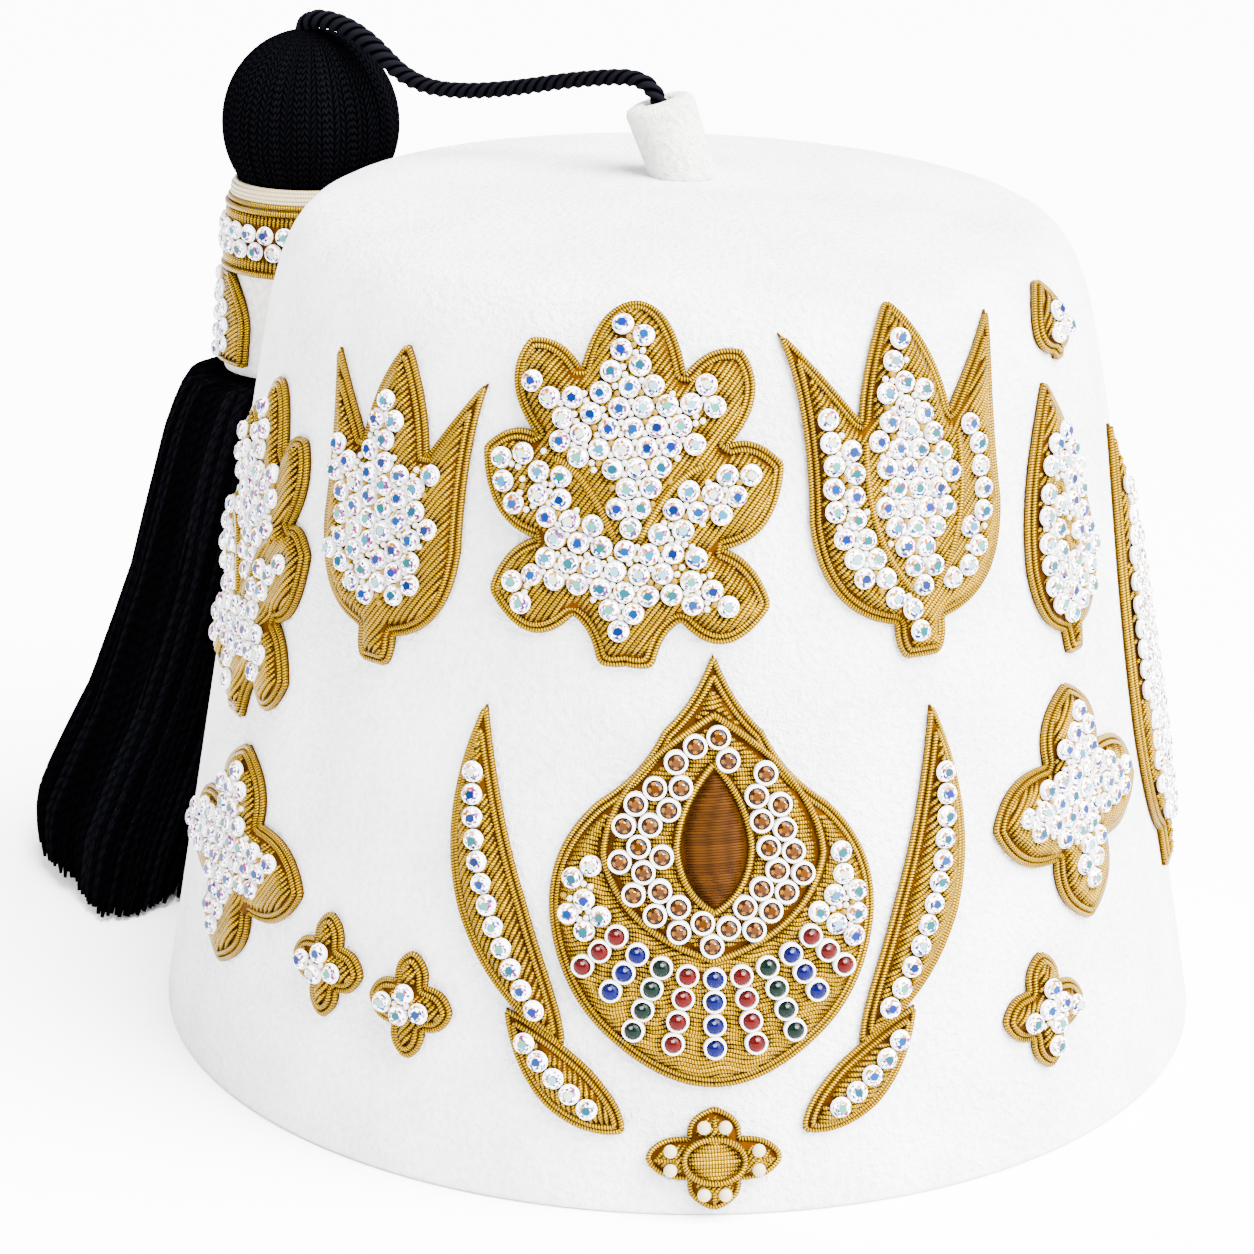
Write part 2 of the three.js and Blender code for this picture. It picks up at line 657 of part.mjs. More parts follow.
function makeTassel() {
  const tassel = new THREE.Group();
  tassel.add(
    piece("tassel_ball", makeBall(), BLACK_RAYON),
    piece("tassel_sleeve", makeSleeve(), WHITE_FELT),
    piece("sleeve_thread", makeBand(SLEEVE_THREAD), CREAM_THREAD),
    piece("sleeve_band", makeBand(SLEEVE_BAND), GOLD_THREAD),
    piece("sleeve_strip", makeBand(SLEEVE_STRIP), GOLD_THREAD),
    piece("tassel_fringe", makeFringe(), BLACK_RAYON),
  );
  const foot = onCrown(TASSEL_ANGLE, 0, 0);
  const out = onCrown(TASSEL_ANGLE, 0, 1).sub(foot);
  tassel.position.set(foot.x, foot.y, 0);
  tassel.rotation.z = Math.atan2(out.y, out.x);
  return tassel;
}

const fez = new THREE.Group();
fez.add(piece("crown", makeCrown(), WHITE_FELT));
fez.add(piece("stem", makeStem(), WHITE_FELT));
for (const motif of MOTIFS) fez.add(piece(motif.name, makeMotif(motif), GOLD_THREAD));
for (const leaf of LEAVES) {
  fez.add(piece(`leaf_left_${leaf.name}`, makeMotif(leafOn(-1, leaf)), GOLD_THREAD));
  fez.add(piece(`leaf_right_${leaf.name}`, makeMotif(leafOn(1, leaf)), GOLD_THREAD));
}
fez.add(piece("medallion", makeMedallion(), GOLD_THREAD));
fez.add(piece("medallion_seed", makeSeed(), BROWN_SILK));
fez.add(piece("tassel_cord", makeCord(), BLACK_RAYON));
fez.add(makeTassel());
fez.position.y = FORWARD;

export default fez;
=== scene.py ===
import math

import bpy
import numpy as np
from mathutils import Matrix, Vector


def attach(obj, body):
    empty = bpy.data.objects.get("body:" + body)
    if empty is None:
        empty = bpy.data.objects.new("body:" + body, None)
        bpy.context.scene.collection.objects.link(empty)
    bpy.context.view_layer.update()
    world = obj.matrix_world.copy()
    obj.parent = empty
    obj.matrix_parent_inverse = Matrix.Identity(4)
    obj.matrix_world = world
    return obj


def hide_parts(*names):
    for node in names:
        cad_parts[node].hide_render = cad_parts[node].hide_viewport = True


# A white felt fez with raised gold embroidery, set stones and a black tassel, dressed on its solids.
# Shapes are worked out in millimetres, in the solids' own frame, and made in metres.

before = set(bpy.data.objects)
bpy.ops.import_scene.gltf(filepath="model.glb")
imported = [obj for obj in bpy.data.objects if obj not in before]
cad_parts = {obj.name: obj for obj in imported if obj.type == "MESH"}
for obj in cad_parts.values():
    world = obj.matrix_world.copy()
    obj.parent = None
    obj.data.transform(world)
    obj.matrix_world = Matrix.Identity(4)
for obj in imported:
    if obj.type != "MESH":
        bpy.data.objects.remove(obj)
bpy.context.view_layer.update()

MM = 0.001
chance = np.random.default_rng(23)


# The photograph's camera, and the cord's route

CAMERA_PLACE = (-11.66, -680.01, 280.0)
CAMERA_PITCH = math.radians(17.56)
CAMERA_YAW = math.radians(0.1643)
CAMERA_ROLL = math.radians(0.7616)
CAMERA_LENS = 118.27  # on a 36 mm sensor

CORD_DIAMETER = 2.7
CORD_STRANDS = 3
CORD_TWIST = 7.0  # one strand's full turn
CORD_GROOVE = 0.13
CORD_ROUTE = [
    (-4.75, 2.4, 153.6),
    (-5.3, 2.8, 155.3),
    (-6.2, 3.5, 157.2),
    (-7.8, 4.9, 158.6),
    (-10.3, 7.1, 159.1),
    (-13.4, 9.7, 158.7),
    (-17.0, 12.8, 157.9),
    (-21.2, 16.4, 156.8),
    (-26.2, 20.7, 155.3),
    (-31.4, 25.2, 153.8),
    (-36.6, 29.6, 152.6),
    (-41.2, 33.6, 151.9),
    (-45.4, 37.2, 151.8),
    (-48.8, 40.1, 152.6),
    (-51.5, 42.4, 153.9),
    (-54.0, 44.6, 155.8),
    (-56.6, 46.8, 157.8),
    (-59.6, 49.4, 159.4),
    (-63.0, 52.3, 160.4),
    (-66.2, 55.0, 160.5),
    (-67.8, 56.4, 159.9),
]


def add_camera():
    bpy.ops.object.camera_add()
    camera = bpy.context.object
    camera.name = "photo_camera"
    forward = Vector((
        math.sin(CAMERA_YAW) * math.cos(CAMERA_PITCH),
        math.cos(CAMERA_YAW) * math.cos(CAMERA_PITCH),
        -math.sin(CAMERA_PITCH),
    ))
    level = Vector((math.cos(CAMERA_YAW), -math.sin(CAMERA_YAW), 0))
    upright = level.cross(forward)
    right = math.cos(CAMERA_ROLL) * level + math.sin(CAMERA_ROLL) * upright
    up = math.cos(CAMERA_ROLL) * upright - math.sin(CAMERA_ROLL) * level
    turn = Matrix((right, up, -forward)).transposed().to_4x4()
    camera.matrix_world = Matrix.Translation(Vector(CAMERA_PLACE) * MM) @ turn
    camera.data.sensor_width = 36
    camera.data.lens = CAMERA_LENS
    camera.data.clip_start = 0.01
    bpy.context.scene.camera = camera


# The crown's surface, as its solid has it

FORWARD = 0.8
RIM_HALF_WIDTH = 90
RIM_HALF_DEPTH = 99
CROWN_HEIGHT = 144
SIDE_TAPER = 0.166
SHOULDER_HEIGHT = 41
SHOULDER_WIDTH = 14.5
SHOULDER_PULL = 0.605
TOP_DOME = 4.9
TOP_LEAN = -1.3
TOP_TILT = -0.0147
FELT = 2.5


def curve_points(ends, count):
    """Points of the Bezier curve with these ends and pulls."""
    share = np.linspace(0, 1, count)[:, None]
    rows = [np.array(end, float) * np.ones_like(share) for end in ends]
    while len(rows) > 1:
        rows = [a + (b - a) * share for a, b in zip(rows, rows[1:])]
    return rows[0]


def crown_section():
    """The half section's points, from the rim to the middle of the top, with its outward normals."""
    side_height = CROWN_HEIGHT - SHOULDER_HEIGHT
    side_top = np.array([RIM_HALF_WIDTH - SIDE_TAPER * side_height, side_height])
    top_edge = np.array([side_top[0] - SHOULDER_WIDTH, CROWN_HEIGHT - TOP_DOME])
    side_way = np.array([-SIDE_TAPER, 1]) / math.hypot(SIDE_TAPER, 1)
    dome_way = np.array([top_edge[0], -2 * TOP_DOME])
    dome_way /= np.linalg.norm(dome_way)
    side_pull = side_top + side_way * SHOULDER_PULL * SHOULDER_HEIGHT
    edge_pull = top_edge + dome_way * SHOULDER_PULL * SHOULDER_WIDTH
    side = curve_points([(RIM_HALF_WIDTH, 0), side_top], 60)
    shoulder = curve_points([side_top, side_pull, edge_pull, top_edge], 120)
    dome = curve_points([top_edge, (top_edge[0] / 2, CROWN_HEIGHT), (0, CROWN_HEIGHT)], 90)
    points = np.vstack([side, shoulder[1:], dome[1:]])
    way = unit(np.gradient(points, axis=0))
    normals = np.stack([way[:, 1], -way[:, 0]], axis=1)
    return points, normals, running_length(points)


def unit(vectors):
    """The same vectors, each of length 1."""
    return vectors / np.maximum(np.linalg.norm(vectors, axis=1), 1e-9)[:, None]


def full_turn(count):
    """Angles at even steps round a circle."""
    return 2 * math.pi * np.arange(count) / count


def running_length(points):
    """How far along the path each of its points lies."""
    steps = np.linalg.norm(np.diff(points, axis=0), axis=1)
    return np.concatenate([[0], np.cumsum(steps)])


SECTION, SECTION_NORMALS, SECTION_SLANTS = crown_section()


def section_at(slant, lift):
    """Radius and height at a distance up the felt from the rim, lifted off the felt."""
    radius = np.interp(slant, SECTION_SLANTS, SECTION[:, 0])
    height = np.interp(slant, SECTION_SLANTS, SECTION[:, 1])
    out = np.interp(slant, SECTION_SLANTS, SECTION_NORMALS[:, 0])
    up = np.interp(slant, SECTION_SLANTS, SECTION_NORMALS[:, 1])
    return np.maximum(radius + lift * out, 0), height + lift * up


def settle(points):
    """Gives a round form the crown's oval, its tilt and its lean, and its place."""
    x, y, z = points.T
    y = y * RIM_HALF_DEPTH / RIM_HALF_WIDTH + FORWARD
    z = z + TOP_TILT * x * z / CROWN_HEIGHT
    x = x + TOP_LEAN * z / CROWN_HEIGHT
    return np.stack([x, y, z], axis=1)


def on_crown(angle, slant, lift):
    radius, height = section_at(slant, lift)
    return settle(np.stack([radius * np.sin(angle), -radius * np.cos(angle), height + 0 * angle], axis=1))


def crown_patch(motif):
    """Returns the function that lays a motif's flat points on the crown."""
    turn = math.radians(motif.get("turn", 0))

    def lay(flat, lift):
        u = flat[:, 0] + motif.get("bend", 0) * flat[:, 1] ** 2
        v = flat[:, 1]
        across = u * math.cos(turn) - v * math.sin(turn)
        slant = motif["slant"] + u * math.sin(turn) + v * math.cos(turn)
        radius, _ = section_at(slant, 0)
        return on_crown(math.radians(motif["angle"]) + across / radius, slant, lift + 0 * slant)

    return lay


# The tassel's own frame: +X away from the crown, the origin at the foot of its side

TASSEL_ANGLE = np.array([math.radians(-128)])
TASSEL_FOOT = on_crown(TASSEL_ANGLE, 0, 0)[0]
TASSEL_OUT = on_crown(TASSEL_ANGLE, 0, 1)[0] - TASSEL_FOOT
TASSEL_TURN = math.atan2(TASSEL_OUT[1], TASSEL_OUT[0])


def beside_crown(points):
    """Moves points from the tassel's frame to the hat's."""
    c, s = math.cos(TASSEL_TURN), math.sin(TASSEL_TURN)
    x = TASSEL_FOOT[0] + c * points[:, 0] - s * points[:, 1]
    y = TASSEL_FOOT[1] + s * points[:, 0] + c * points[:, 1]
    return np.stack([x, y, points[:, 2]], axis=1)


SLEEVE_FOOT = 96.2
SLEEVE_TOP = 130.4
SLEEVE_RADII = (13.4, 13.6)
SLEEVE_AXIS = ((-1.8, 2.5), (-5.1, 1.5))


def on_sleeve(angle, height, lift):
    part = (height - SLEEVE_FOOT) / (SLEEVE_TOP - SLEEVE_FOOT)
    radius = SLEEVE_RADII[0] + (SLEEVE_RADII[1] - SLEEVE_RADII[0]) * part + lift
    x = SLEEVE_AXIS[0][0] + (SLEEVE_AXIS[1][0] - SLEEVE_AXIS[0][0]) * part + radius * np.cos(angle)
    y = SLEEVE_AXIS[0][1] + (SLEEVE_AXIS[1][1] - SLEEVE_AXIS[0][1]) * part + radius * np.sin(angle)
    return beside_crown(np.stack([x, y, height + 0 * x], axis=1))


def sleeve_patch(angle, height):
    """Returns the function that lays flat points on the sleeve, as seen from outside."""

    def lay(flat, lift):
        turn = math.radians(angle) + flat[:, 0] / SLEEVE_RADII[0]
        return on_sleeve(turn, height + flat[:, 1], lift + 0 * turn)

    return lay


# Flat outlines

# Half outlines from the bottom middle to the top middle, in half widths and half heights.
# Columns: end across, end up, pull across, pull up.
TULIP = [
    (0.16, -1.0, 0.08, -1.0),
    (0.22, -0.8, 0.24, -0.92),
    (0.9, -0.2, 0.86, -0.72),
    (1.0, 0.86, 0.84, 0.42),
    (0.42, 0.34, 0.6, 0.52),
    (0.0, 1.0, 0.34, 0.72),
]
PALMETTE = [
    (0.18, -1.0, 0.09, -1.02),
    (0.36, -0.74, 0.22, -0.8),
    (0.94, -0.66, 0.66, -1.02),
    (0.6, -0.34, 0.84, -0.4),
    (1.0, 0.12, 0.98, -0.3),
    (0.62, 0.22, 0.8, 0.3),
    (0.7, 0.74, 0.92, 0.5),
    (0.34, 0.6, 0.48, 0.78),
    (0.0, 1.0, 0.24, 0.98),
]
CYPRESS = [
    (0.2, -1.0, 0.1, -1.0),
    (0.26, -0.82, 0.22, -0.92),
    (1.0, -0.3, 0.92, -0.74),
    (0.0, 1.0, 0.98, 0.34),
]
PETALS = [
    (0.36, -0.4, 0.44, -0.8),
    (1.0, 0.0, 0.84, -0.44),
    (0.36, 0.4, 0.84, 0.44),
    (0.0, 1.0, 0.44, 0.8),
]
POMEGRANATE = [
    (0.62, -0.8, 0.3, -1.0),
    (1.0, -0.26, 0.95, -0.6),
    (0.7, 0.3, 1.04, 0.06),
    (0.3, 0.64, 0.42, 0.44),
    (0.0, 1.0, 0.1, 0.78),
]
LEAF = [
    (1.0, -0.15, 0.9, -0.75),
    (0.0, 1.0, 0.95, 0.45),
]

# Veins that part a motif's petals, on both sides, in the same measures.
# Columns: start across, start up, pull across, pull up, end across, end up.
TULIP_VEINS = [(0.1, -0.62, 0.5, -0.3, 0.42, 0.24)]
PALMETTE_VEINS = [(0.08, -0.3, 0.3, 0.1, 0.5, 0.12)]


OUTLINE_STEP = 0.6
PACK_STEP = 0.35


def outline_of(half, width, height):
    """A motif's closed outline in millimetres, at even steps."""
    start = (0.0, -1.0)
    right = []
    for across, up, pull_across, pull_up in half:
        right.append(curve_points([start, (pull_across, pull_up), (across, up)], 24)[:-1])
        start = (across, up)
    right = np.vstack(right + [np.array([[0.0, 1.0]])])
    left = right[-2:0:-1] * (-1, 1)
    return evened(np.vstack([right, left]) * (width / 2, height / 2), OUTLINE_STEP, True)


def evened(points, step, closed):
    """The same path with points at an even distance."""
    if closed:
        points = np.vstack([points, points[:1]])
    reach = running_length(points)
    count = max(int(round(reach[-1] / step)), 3)
    places = np.linspace(0, reach[-1], count + 1)
    path = np.stack([np.interp(places, reach, points[:, k]) for k in range(points.shape[1])], axis=1)
    return path[:-1] if closed else path


def distance_to(points, path, closed):
    """How far each point lies from a path."""
    ends = np.roll(path, -1, axis=0) if closed else path[1:]
    starts = path if closed else path[:-1]
    along = ends - starts
    share = ((points[:, None] - starts) * along).sum(2) / np.maximum((along**2).sum(1), 1e-12)
    nearest = starts + along * np.clip(share, 0, 1)[..., None]
    return np.sqrt(((points[:, None] - nearest) ** 2).sum(2)).min(1)


def gaps_to(points, places):
    """How far each point lies from each place."""
    return np.sqrt(((points[:, None] - places) ** 2).sum(2))


def depth_in(points, outline):
    """How deep each point lies inside an outline; negative outside."""
    x, y = points[:, :1], points[:, 1:]
    x0, y0 = outline.T
    x1, y1 = np.roll(outline, -1, axis=0).T
    spans = (y0 > y) != (y1 > y)
    rise = np.where(y1 == y0, 1e-12, y1 - y0)
    crossings = spans & (x < (x1 - x0) * (y - y0) / rise + x0)
    inside = crossings.sum(1) % 2 == 1
    return np.where(inside, 1, -1) * distance_to(points, outline, True)


def inset(outline, margin):
    """The outline moved inwards, without the stretches that fold over."""
    way = unit(np.roll(outline, -1, axis=0) - np.roll(outline, 1, axis=0))
    moved = outline + np.stack([-way[:, 1], way[:, 0]], axis=1) * margin
    return moved[depth_in(moved, outline) > 0.94 * margin]


def pack_round(outline, pitch, room):
    """Middles of round things packed as close as they go.

    room gives how far points are inside the free field.
    """
    low, high = outline.min(0), outline.max(0)
    columns, rows = (np.arange(low[axis], high[axis], PACK_STEP) for axis in (0, 1))
    across, up = np.meshgrid(columns, rows)
    spots = np.stack([across.ravel(), up.ravel()], axis=1)
    spare = room(spots)
    spots, spare = spots[spare >= 0], spare[spare >= 0]
    near = np.full((len(spots), 2), 3.0 * pitch)
    places = []
    while len(spots):
        ranked = np.sort(np.column_stack([near, spare + pitch]), axis=1)
        best = spots[(ranked[:, 0] + ranked[:, 1]).argmin()]
        places.append(best)
        away = np.linalg.norm(spots - best, axis=1)
        near = np.sort(np.column_stack([near, away]), axis=1)[:, :2]
        left = away >= 0.99 * pitch
        spots, spare, near = spots[left], spare[left], near[left]
    return np.array(places).reshape(-1, 2)


# Small forms joined into one mesh

class Work:
    """Gathers the small forms of one piece, and makes them one mesh."""

    def __init__(self):
        self.points, self.faces, self.total = [], [], 0

    def add(self, points, faces, material, smooth=True, uv=None, tint=(1, 1, 1)):
        """faces is a list of arrays with one face a row. uv matches it, and tint does or is one colour."""
        for k, block in enumerate(faces):
            block_uv = np.zeros(block.shape + (2,)) if uv is None else uv[k]
            block_tint = tint[k] if isinstance(tint, list) else np.tile(tint, (len(block), 1))
            self.faces.append((block + self.total, material, smooth, block_uv, block_tint))
        self.points.append(points)
        self.total += len(points)

    def make(self, name, finishes):
        mesh = bpy.data.meshes.new(name)
        points = np.vstack(self.points) * MM
        blocks, materials, smooths, uvs, tints = zip(*self.faces)
        counts = [len(block) for block in blocks]
        sides = [block.shape[1] for block in blocks]
        sizes = np.repeat(sides, counts)
        corners = np.concatenate([block.ravel() for block in blocks])
        mesh.vertices.add(len(points))
        mesh.vertices.foreach_set("co", points.astype(np.float32).ravel())
        mesh.loops.add(len(corners))
        mesh.loops.foreach_set("vertex_index", corners.astype(np.int32))
        mesh.polygons.add(len(sizes))
        starts = np.concatenate([[0], np.cumsum(sizes)[:-1]])
        mesh.polygons.foreach_set("loop_start", starts.astype(np.int32))
        for finish in finishes:
            mesh.materials.append(finish)
        mesh.update(calc_edges=True)
        mesh.polygons.foreach_set("use_smooth", np.repeat(smooths, counts))
        mesh.polygons.foreach_set("material_index", np.repeat(materials, counts).astype(np.int32))
        uv = np.concatenate([block.reshape(-1, 2) for block in uvs])
        mesh.uv_layers.new(name="lay").data.foreach_set("uv", uv.astype(np.float32).ravel())
        tint = np.concatenate([np.repeat(block, count, axis=0) for block, count in zip(tints, sides)])
        tint = np.hstack([tint, np.ones((len(tint), 1))])
        colours = mesh.color_attributes.new("tint", "FLOAT_COLOR", "CORNER")
        colours.data.foreach_set("color", tint.astype(np.float32).ravel())
        mesh.update()
        piece = bpy.data.objects.new(name, mesh)
        bpy.context.scene.collection.objects.link(piece)
        return piece


ROUNDED_END = 0.12  # how far up its rounding a tapered end begins


def sweep(work, path, up, radius, material, sides=6, closed=False, shade=1.0, lobes=None, taper=0.0,
          start=0.0, winding=1):
    """Adds a tube along a path. taper rounds its ends off, and shade is its brightness.

    lobes makes it a twisted cord: the number of strands, the groove's depth and a strand's full turn.
    start is the length that the winding has run before the path begins. winding -1 winds the other way.
    """
    count = len(path)
    way = np.roll(path, -1, axis=0) - np.roll(path, 1, axis=0)
    if not closed:
        way[0] = path[1] - path[0]
        way[-1] = path[-1] - path[-2]
    way = unit(way)
    side = unit(np.cross(way, up))
    top = np.cross(side, way)
    reach = running_length(path)
    angle = full_turn(sides)
    size = np.ones((count, sides)) * np.reshape(radius, (-1, 1))
    if lobes:
        strands, groove, pitch = lobes
        turned = 2 * math.pi * (start + reach[:, None]) / pitch
        size *= 1 + groove * np.cos(strands * (angle[None] - turned))
    if taper:
        ends = np.minimum(reach, reach[-1] - reach) / taper
        size *= np.sqrt(1 - (1 - np.clip(ends, ROUNDED_END, 1)) ** 2)[:, None]
    ring = side[:, None] * np.cos(angle)[None, :, None] + top[:, None] * np.sin(angle)[None, :, None]
    points = (path[:, None] + ring * size[..., None]).reshape(-1, 3)
    rows = np.arange(count if closed else count - 1)
    k = np.arange(sides)
    here = rows[:, None] * sides
    there = ((rows + 1) % count)[:, None] * sides
    after_k = (k + 1) % sides
    faces = [np.stack([here + k, there + k, there + after_k, here + after_k], axis=-1).reshape(-1, 4)]
    after = np.append(reach, reach[-1] + np.linalg.norm(path[0] - path[-1]))
    lengthwise = (start + np.stack([after[rows], after[rows + 1], after[rows + 1], after[rows]], axis=1)) / 10
    around = winding * np.stack([k, k, k + 1, k + 1], axis=1) / sides
    shape = (len(rows), sides, 4)
    lay = [np.broadcast_to(around[None], shape), np.broadcast_to(lengthwise[:, None], shape)]
    uv = [np.stack(lay, axis=-1).reshape(-1, 4, 2)]
    if not closed:
        faces += [k[None], ((count - 1) * sides + k[::-1])[None]]
        uv += [np.zeros((1, sides, 2)), np.full((1, sides, 2), reach[-1] / 10)]
    work.add(points, faces, material, True, uv, (shade, shade, shade))


def forms_of(piece):
    """A modelled form's points and faces, grouped by how many corners they have. The form is used up."""
    bpy.ops.object.mode_set(mode="OBJECT")
    mesh = piece.data
    points = np.array([v.co for v in mesh.vertices])
    by_size = {}
    for polygon in mesh.polygons:
        by_size.setdefault(len(polygon.vertices), []).append(list(polygon.vertices))
    bpy.data.objects.remove(piece)
    return points, [np.array(block) for block in by_size.values()]


def set_in_place(work, form, middles, normals, sides, material, smooth, tints):
    """Adds a copy of a form at each middle, standing along the normal there.

    tints gives the faces' colours from the number of copies and each face's reach and bearing from the
    form's axis.
    """
    points, faces = form
    across = unit(sides - normals * (sides * normals).sum(1)[:, None])
    upwards = np.cross(normals, across)
    axes = np.stack([across, upwards, normals], axis=1)
    copies = middles[:, None] + np.einsum("vk,nkd->nvd", points, axes)
    start = (np.arange(len(middles)) * len(points))[:, None, None]
    blocks = [(block[None] + start).reshape(-1, block.shape[1]) for block in faces]
    shades = []
    for block in faces:
        x, y, _ = points[block].mean(1).T
        shades.append(tints(len(middles), np.hypot(x, y), np.arctan2(y, x)).reshape(-1, 3))
    work.add(copies.reshape(-1, 3), blocks, material, smooth, None, shades)


def stand_on(lay, flat, lift):
    """Middle, normal and sideways direction of flat points on a patch."""
    middles = lay(flat, lift)
    normals = unit(lay(flat, lift + 1) - middles)
    sides = lay(flat + (0.5, 0), lift) - middles
    return middles, normals, sides


# Modelling by hand

def start_form(add, **sizes):
    """Adds a primitive with nothing else selected, and opens it for editing."""
    bpy.ops.object.select_all(action="DESELECT")
    add(**sizes)
    bpy.ops.object.mode_set(mode="EDIT")
    bpy.ops.mesh.select_all(action="DESELECT")
    bpy.ops.object.mode_set(mode="OBJECT")
    return bpy.context.object


def choose_faces(piece, wanted):
    """Selects the faces that a test on their middle and normal picks, and opens the piece for editing."""
    bpy.ops.object.mode_set(mode="OBJECT")
    for polygon in piece.data.polygons:
        polygon.select = wanted(polygon.center, polygon.normal)
    bpy.ops.object.mode_set(mode="EDIT")
    bpy.ops.mesh.select_mode(type="FACE")


CUP_RADIUS = 1.7  # of the pearly cups that the crystals sit in


def turn_top(degrees):
    bpy.ops.transform.rotate(value=math.radians(degrees), orient_axis="Z", center_override=(0, 0, 0))


def cut_stone(radius, rise):
    """A round cut stone: facets from the girdle up, star facets and a table."""
    piece = start_form(
        bpy.ops.mesh.primitive_cylinder_add, vertices=12, radius=radius, depth=0.4, location=(0, 0, rise),
        end_fill_type="NGON",
    )
    bpy.ops.object.transform_apply(location=True)
    choose_faces(piece, lambda middle, normal: normal.z > 0.9)
    bpy.ops.mesh.inset(thickness=0.19 * radius, depth=0.14 * radius)
    turn_top(15)
    bpy.ops.mesh.inset(thickness=0.22 * radius, depth=0.13 * radius)
    turn_top(15)
    bpy.ops.mesh.inset(thickness=0.13 * radius, depth=0.03 * radius)
    choose_faces(piece, lambda middle, normal: math.hypot(middle.x, middle.y) > 0.3 * radius)
    bpy.ops.mesh.quads_convert_to_tris(quad_method="FIXED")
    bpy.ops.mesh.select_all(action="DESELECT")
    return forms_of(piece)


def ring_cup(outer, opening):
    """A white cup with a ring round its opening."""
    piece = start_form(
        bpy.ops.mesh.primitive_cylinder_add, vertices=18, radius=outer, depth=1.3, location=(0, 0, 0.65),
        end_fill_type="NGON",
    )
    bpy.ops.object.transform_apply(location=True)
    choose_faces(piece, lambda middle, normal: normal.z > 0.9)
    bpy.ops.mesh.inset(thickness=0.14, depth=0.14)
    bpy.ops.mesh.inset(thickness=outer - opening - 0.2, depth=0.02)
    bpy.ops.mesh.inset(thickness=0.06, depth=-0.4)
    bpy.ops.mesh.select_all(action="DESELECT")
    return forms_of(piece)


def squashed_ball(radius, rise, flatness, segments, rings):
    """A ball pressed flat, standing that high."""
    piece = start_form(
        bpy.ops.mesh.primitive_uv_sphere_add, segments=segments, ring_count=rings, radius=radius,
    )
    bpy.ops.object.mode_set(mode="EDIT")
    bpy.ops.mesh.select_all(action="SELECT")
    bpy.ops.transform.resize(value=(1, 1, flatness))
    bpy.ops.transform.translate(value=(0, 0, rise))
    bpy.ops.mesh.select_all(action="DESELECT")
    return forms_of(piece)


# Materials

BRIGHT = 6.0  # how bright this light makes a white surface on the hat's side
HELD_BACK = 11  # how strongly the picture holds its lightest tones back
GREYING = 0.12  # the share of grey that the picture mixes into a colour


def colour(red, green, blue):
    """A colour given as it shows in this light, from 0 to 255, as the values that a shader takes."""
    shown = np.array((red, green, blue)) / 255
    glow = ((shown + 0.055) / 1.055) ** 2.4 * (1 + HELD_BACK * shown.mean() ** 10)
    pure = (glow - GREYING * glow.mean()) / (1 - GREYING)
    return tuple(float(value) for value in np.clip(pure / BRIGHT, 0, 0.9))


def node(tree, kind, **values):
    made = tree.nodes.new(kind)
    for key, value in values.items():
        if key in made.inputs:
            made.inputs[key].default_value = value
        else:
            setattr(made, key.replace(" ", "_").lower(), value)
    return made


def new_finish(name, **sockets):
    """A material with one Principled shader. Returns it with its node tree and shader."""
    finish = bpy.data.materials.new(name)
    finish.use_nodes = True
    tree = finish.node_tree
    shader = tree.nodes["Principled BSDF"]
    for key, value in sockets.items():
        shader.inputs[key.replace("_", " ")].default_value = value
    return finish, tree, shader


def math_node(tree, operation, first, second=None):
    made = tree.nodes.new("ShaderNodeMath")
    made.operation = operation
    for socket, value in zip(made.inputs, (first, second)):
        if value is None:
            continue
        if isinstance(value, (int, float)):
            socket.default_value = value
        else:
            tree.links.new(value, socket)
    return made.outputs[0]


def new_group(name, inputs, outputs):
    """A shader node group. Returns its tree with the input and output nodes."""
    group = bpy.data.node_groups.new(name, "ShaderNodeTree")
    for label, kind, value in inputs:
        socket = group.interface.new_socket(label, in_out="INPUT", socket_type=kind)
        if value is not None:
            socket.default_value = value
    for label, kind in outputs:
        group.interface.new_socket(label, in_out="OUTPUT", socket_type=kind)
    return group, group.nodes.new("NodeGroupInput"), group.nodes.new("NodeGroupOutput")


def ridges_group():
    """Ridges that wind round a thread or cord, from its own UV map: around, and along in centimetres."""
    group, given, result = new_group(
        "thread_ridges",
        [
            ("UV", "NodeSocketVector", None),
            ("Pitch", "NodeSocketFloat", 0.3),
            ("Strands", "NodeSocketFloat", 1.0),
        ],
        [("Ridge", "NodeSocketFloat")],
    )
    parts = node(group, "ShaderNodeSeparateXYZ")
    group.links.new(given.outputs["UV"], parts.inputs[0])
    length = math_node(group, "MULTIPLY", parts.outputs["Y"], 10.0)
    along = math_node(group, "DIVIDE", length, given.outputs["Pitch"])
    around = math_node(group, "MULTIPLY", parts.outputs["X"], given.outputs["Strands"])
    turns = math_node(group, "ADD", along, around)
    wave = math_node(group, "COSINE", math_node(group, "MULTIPLY", turns, 2 * math.pi))
    ridge = math_node(group, "ADD", math_node(group, "MULTIPLY", wave, 0.5), 0.5)
    group.links.new(ridge, result.inputs["Ridge"])
    return group


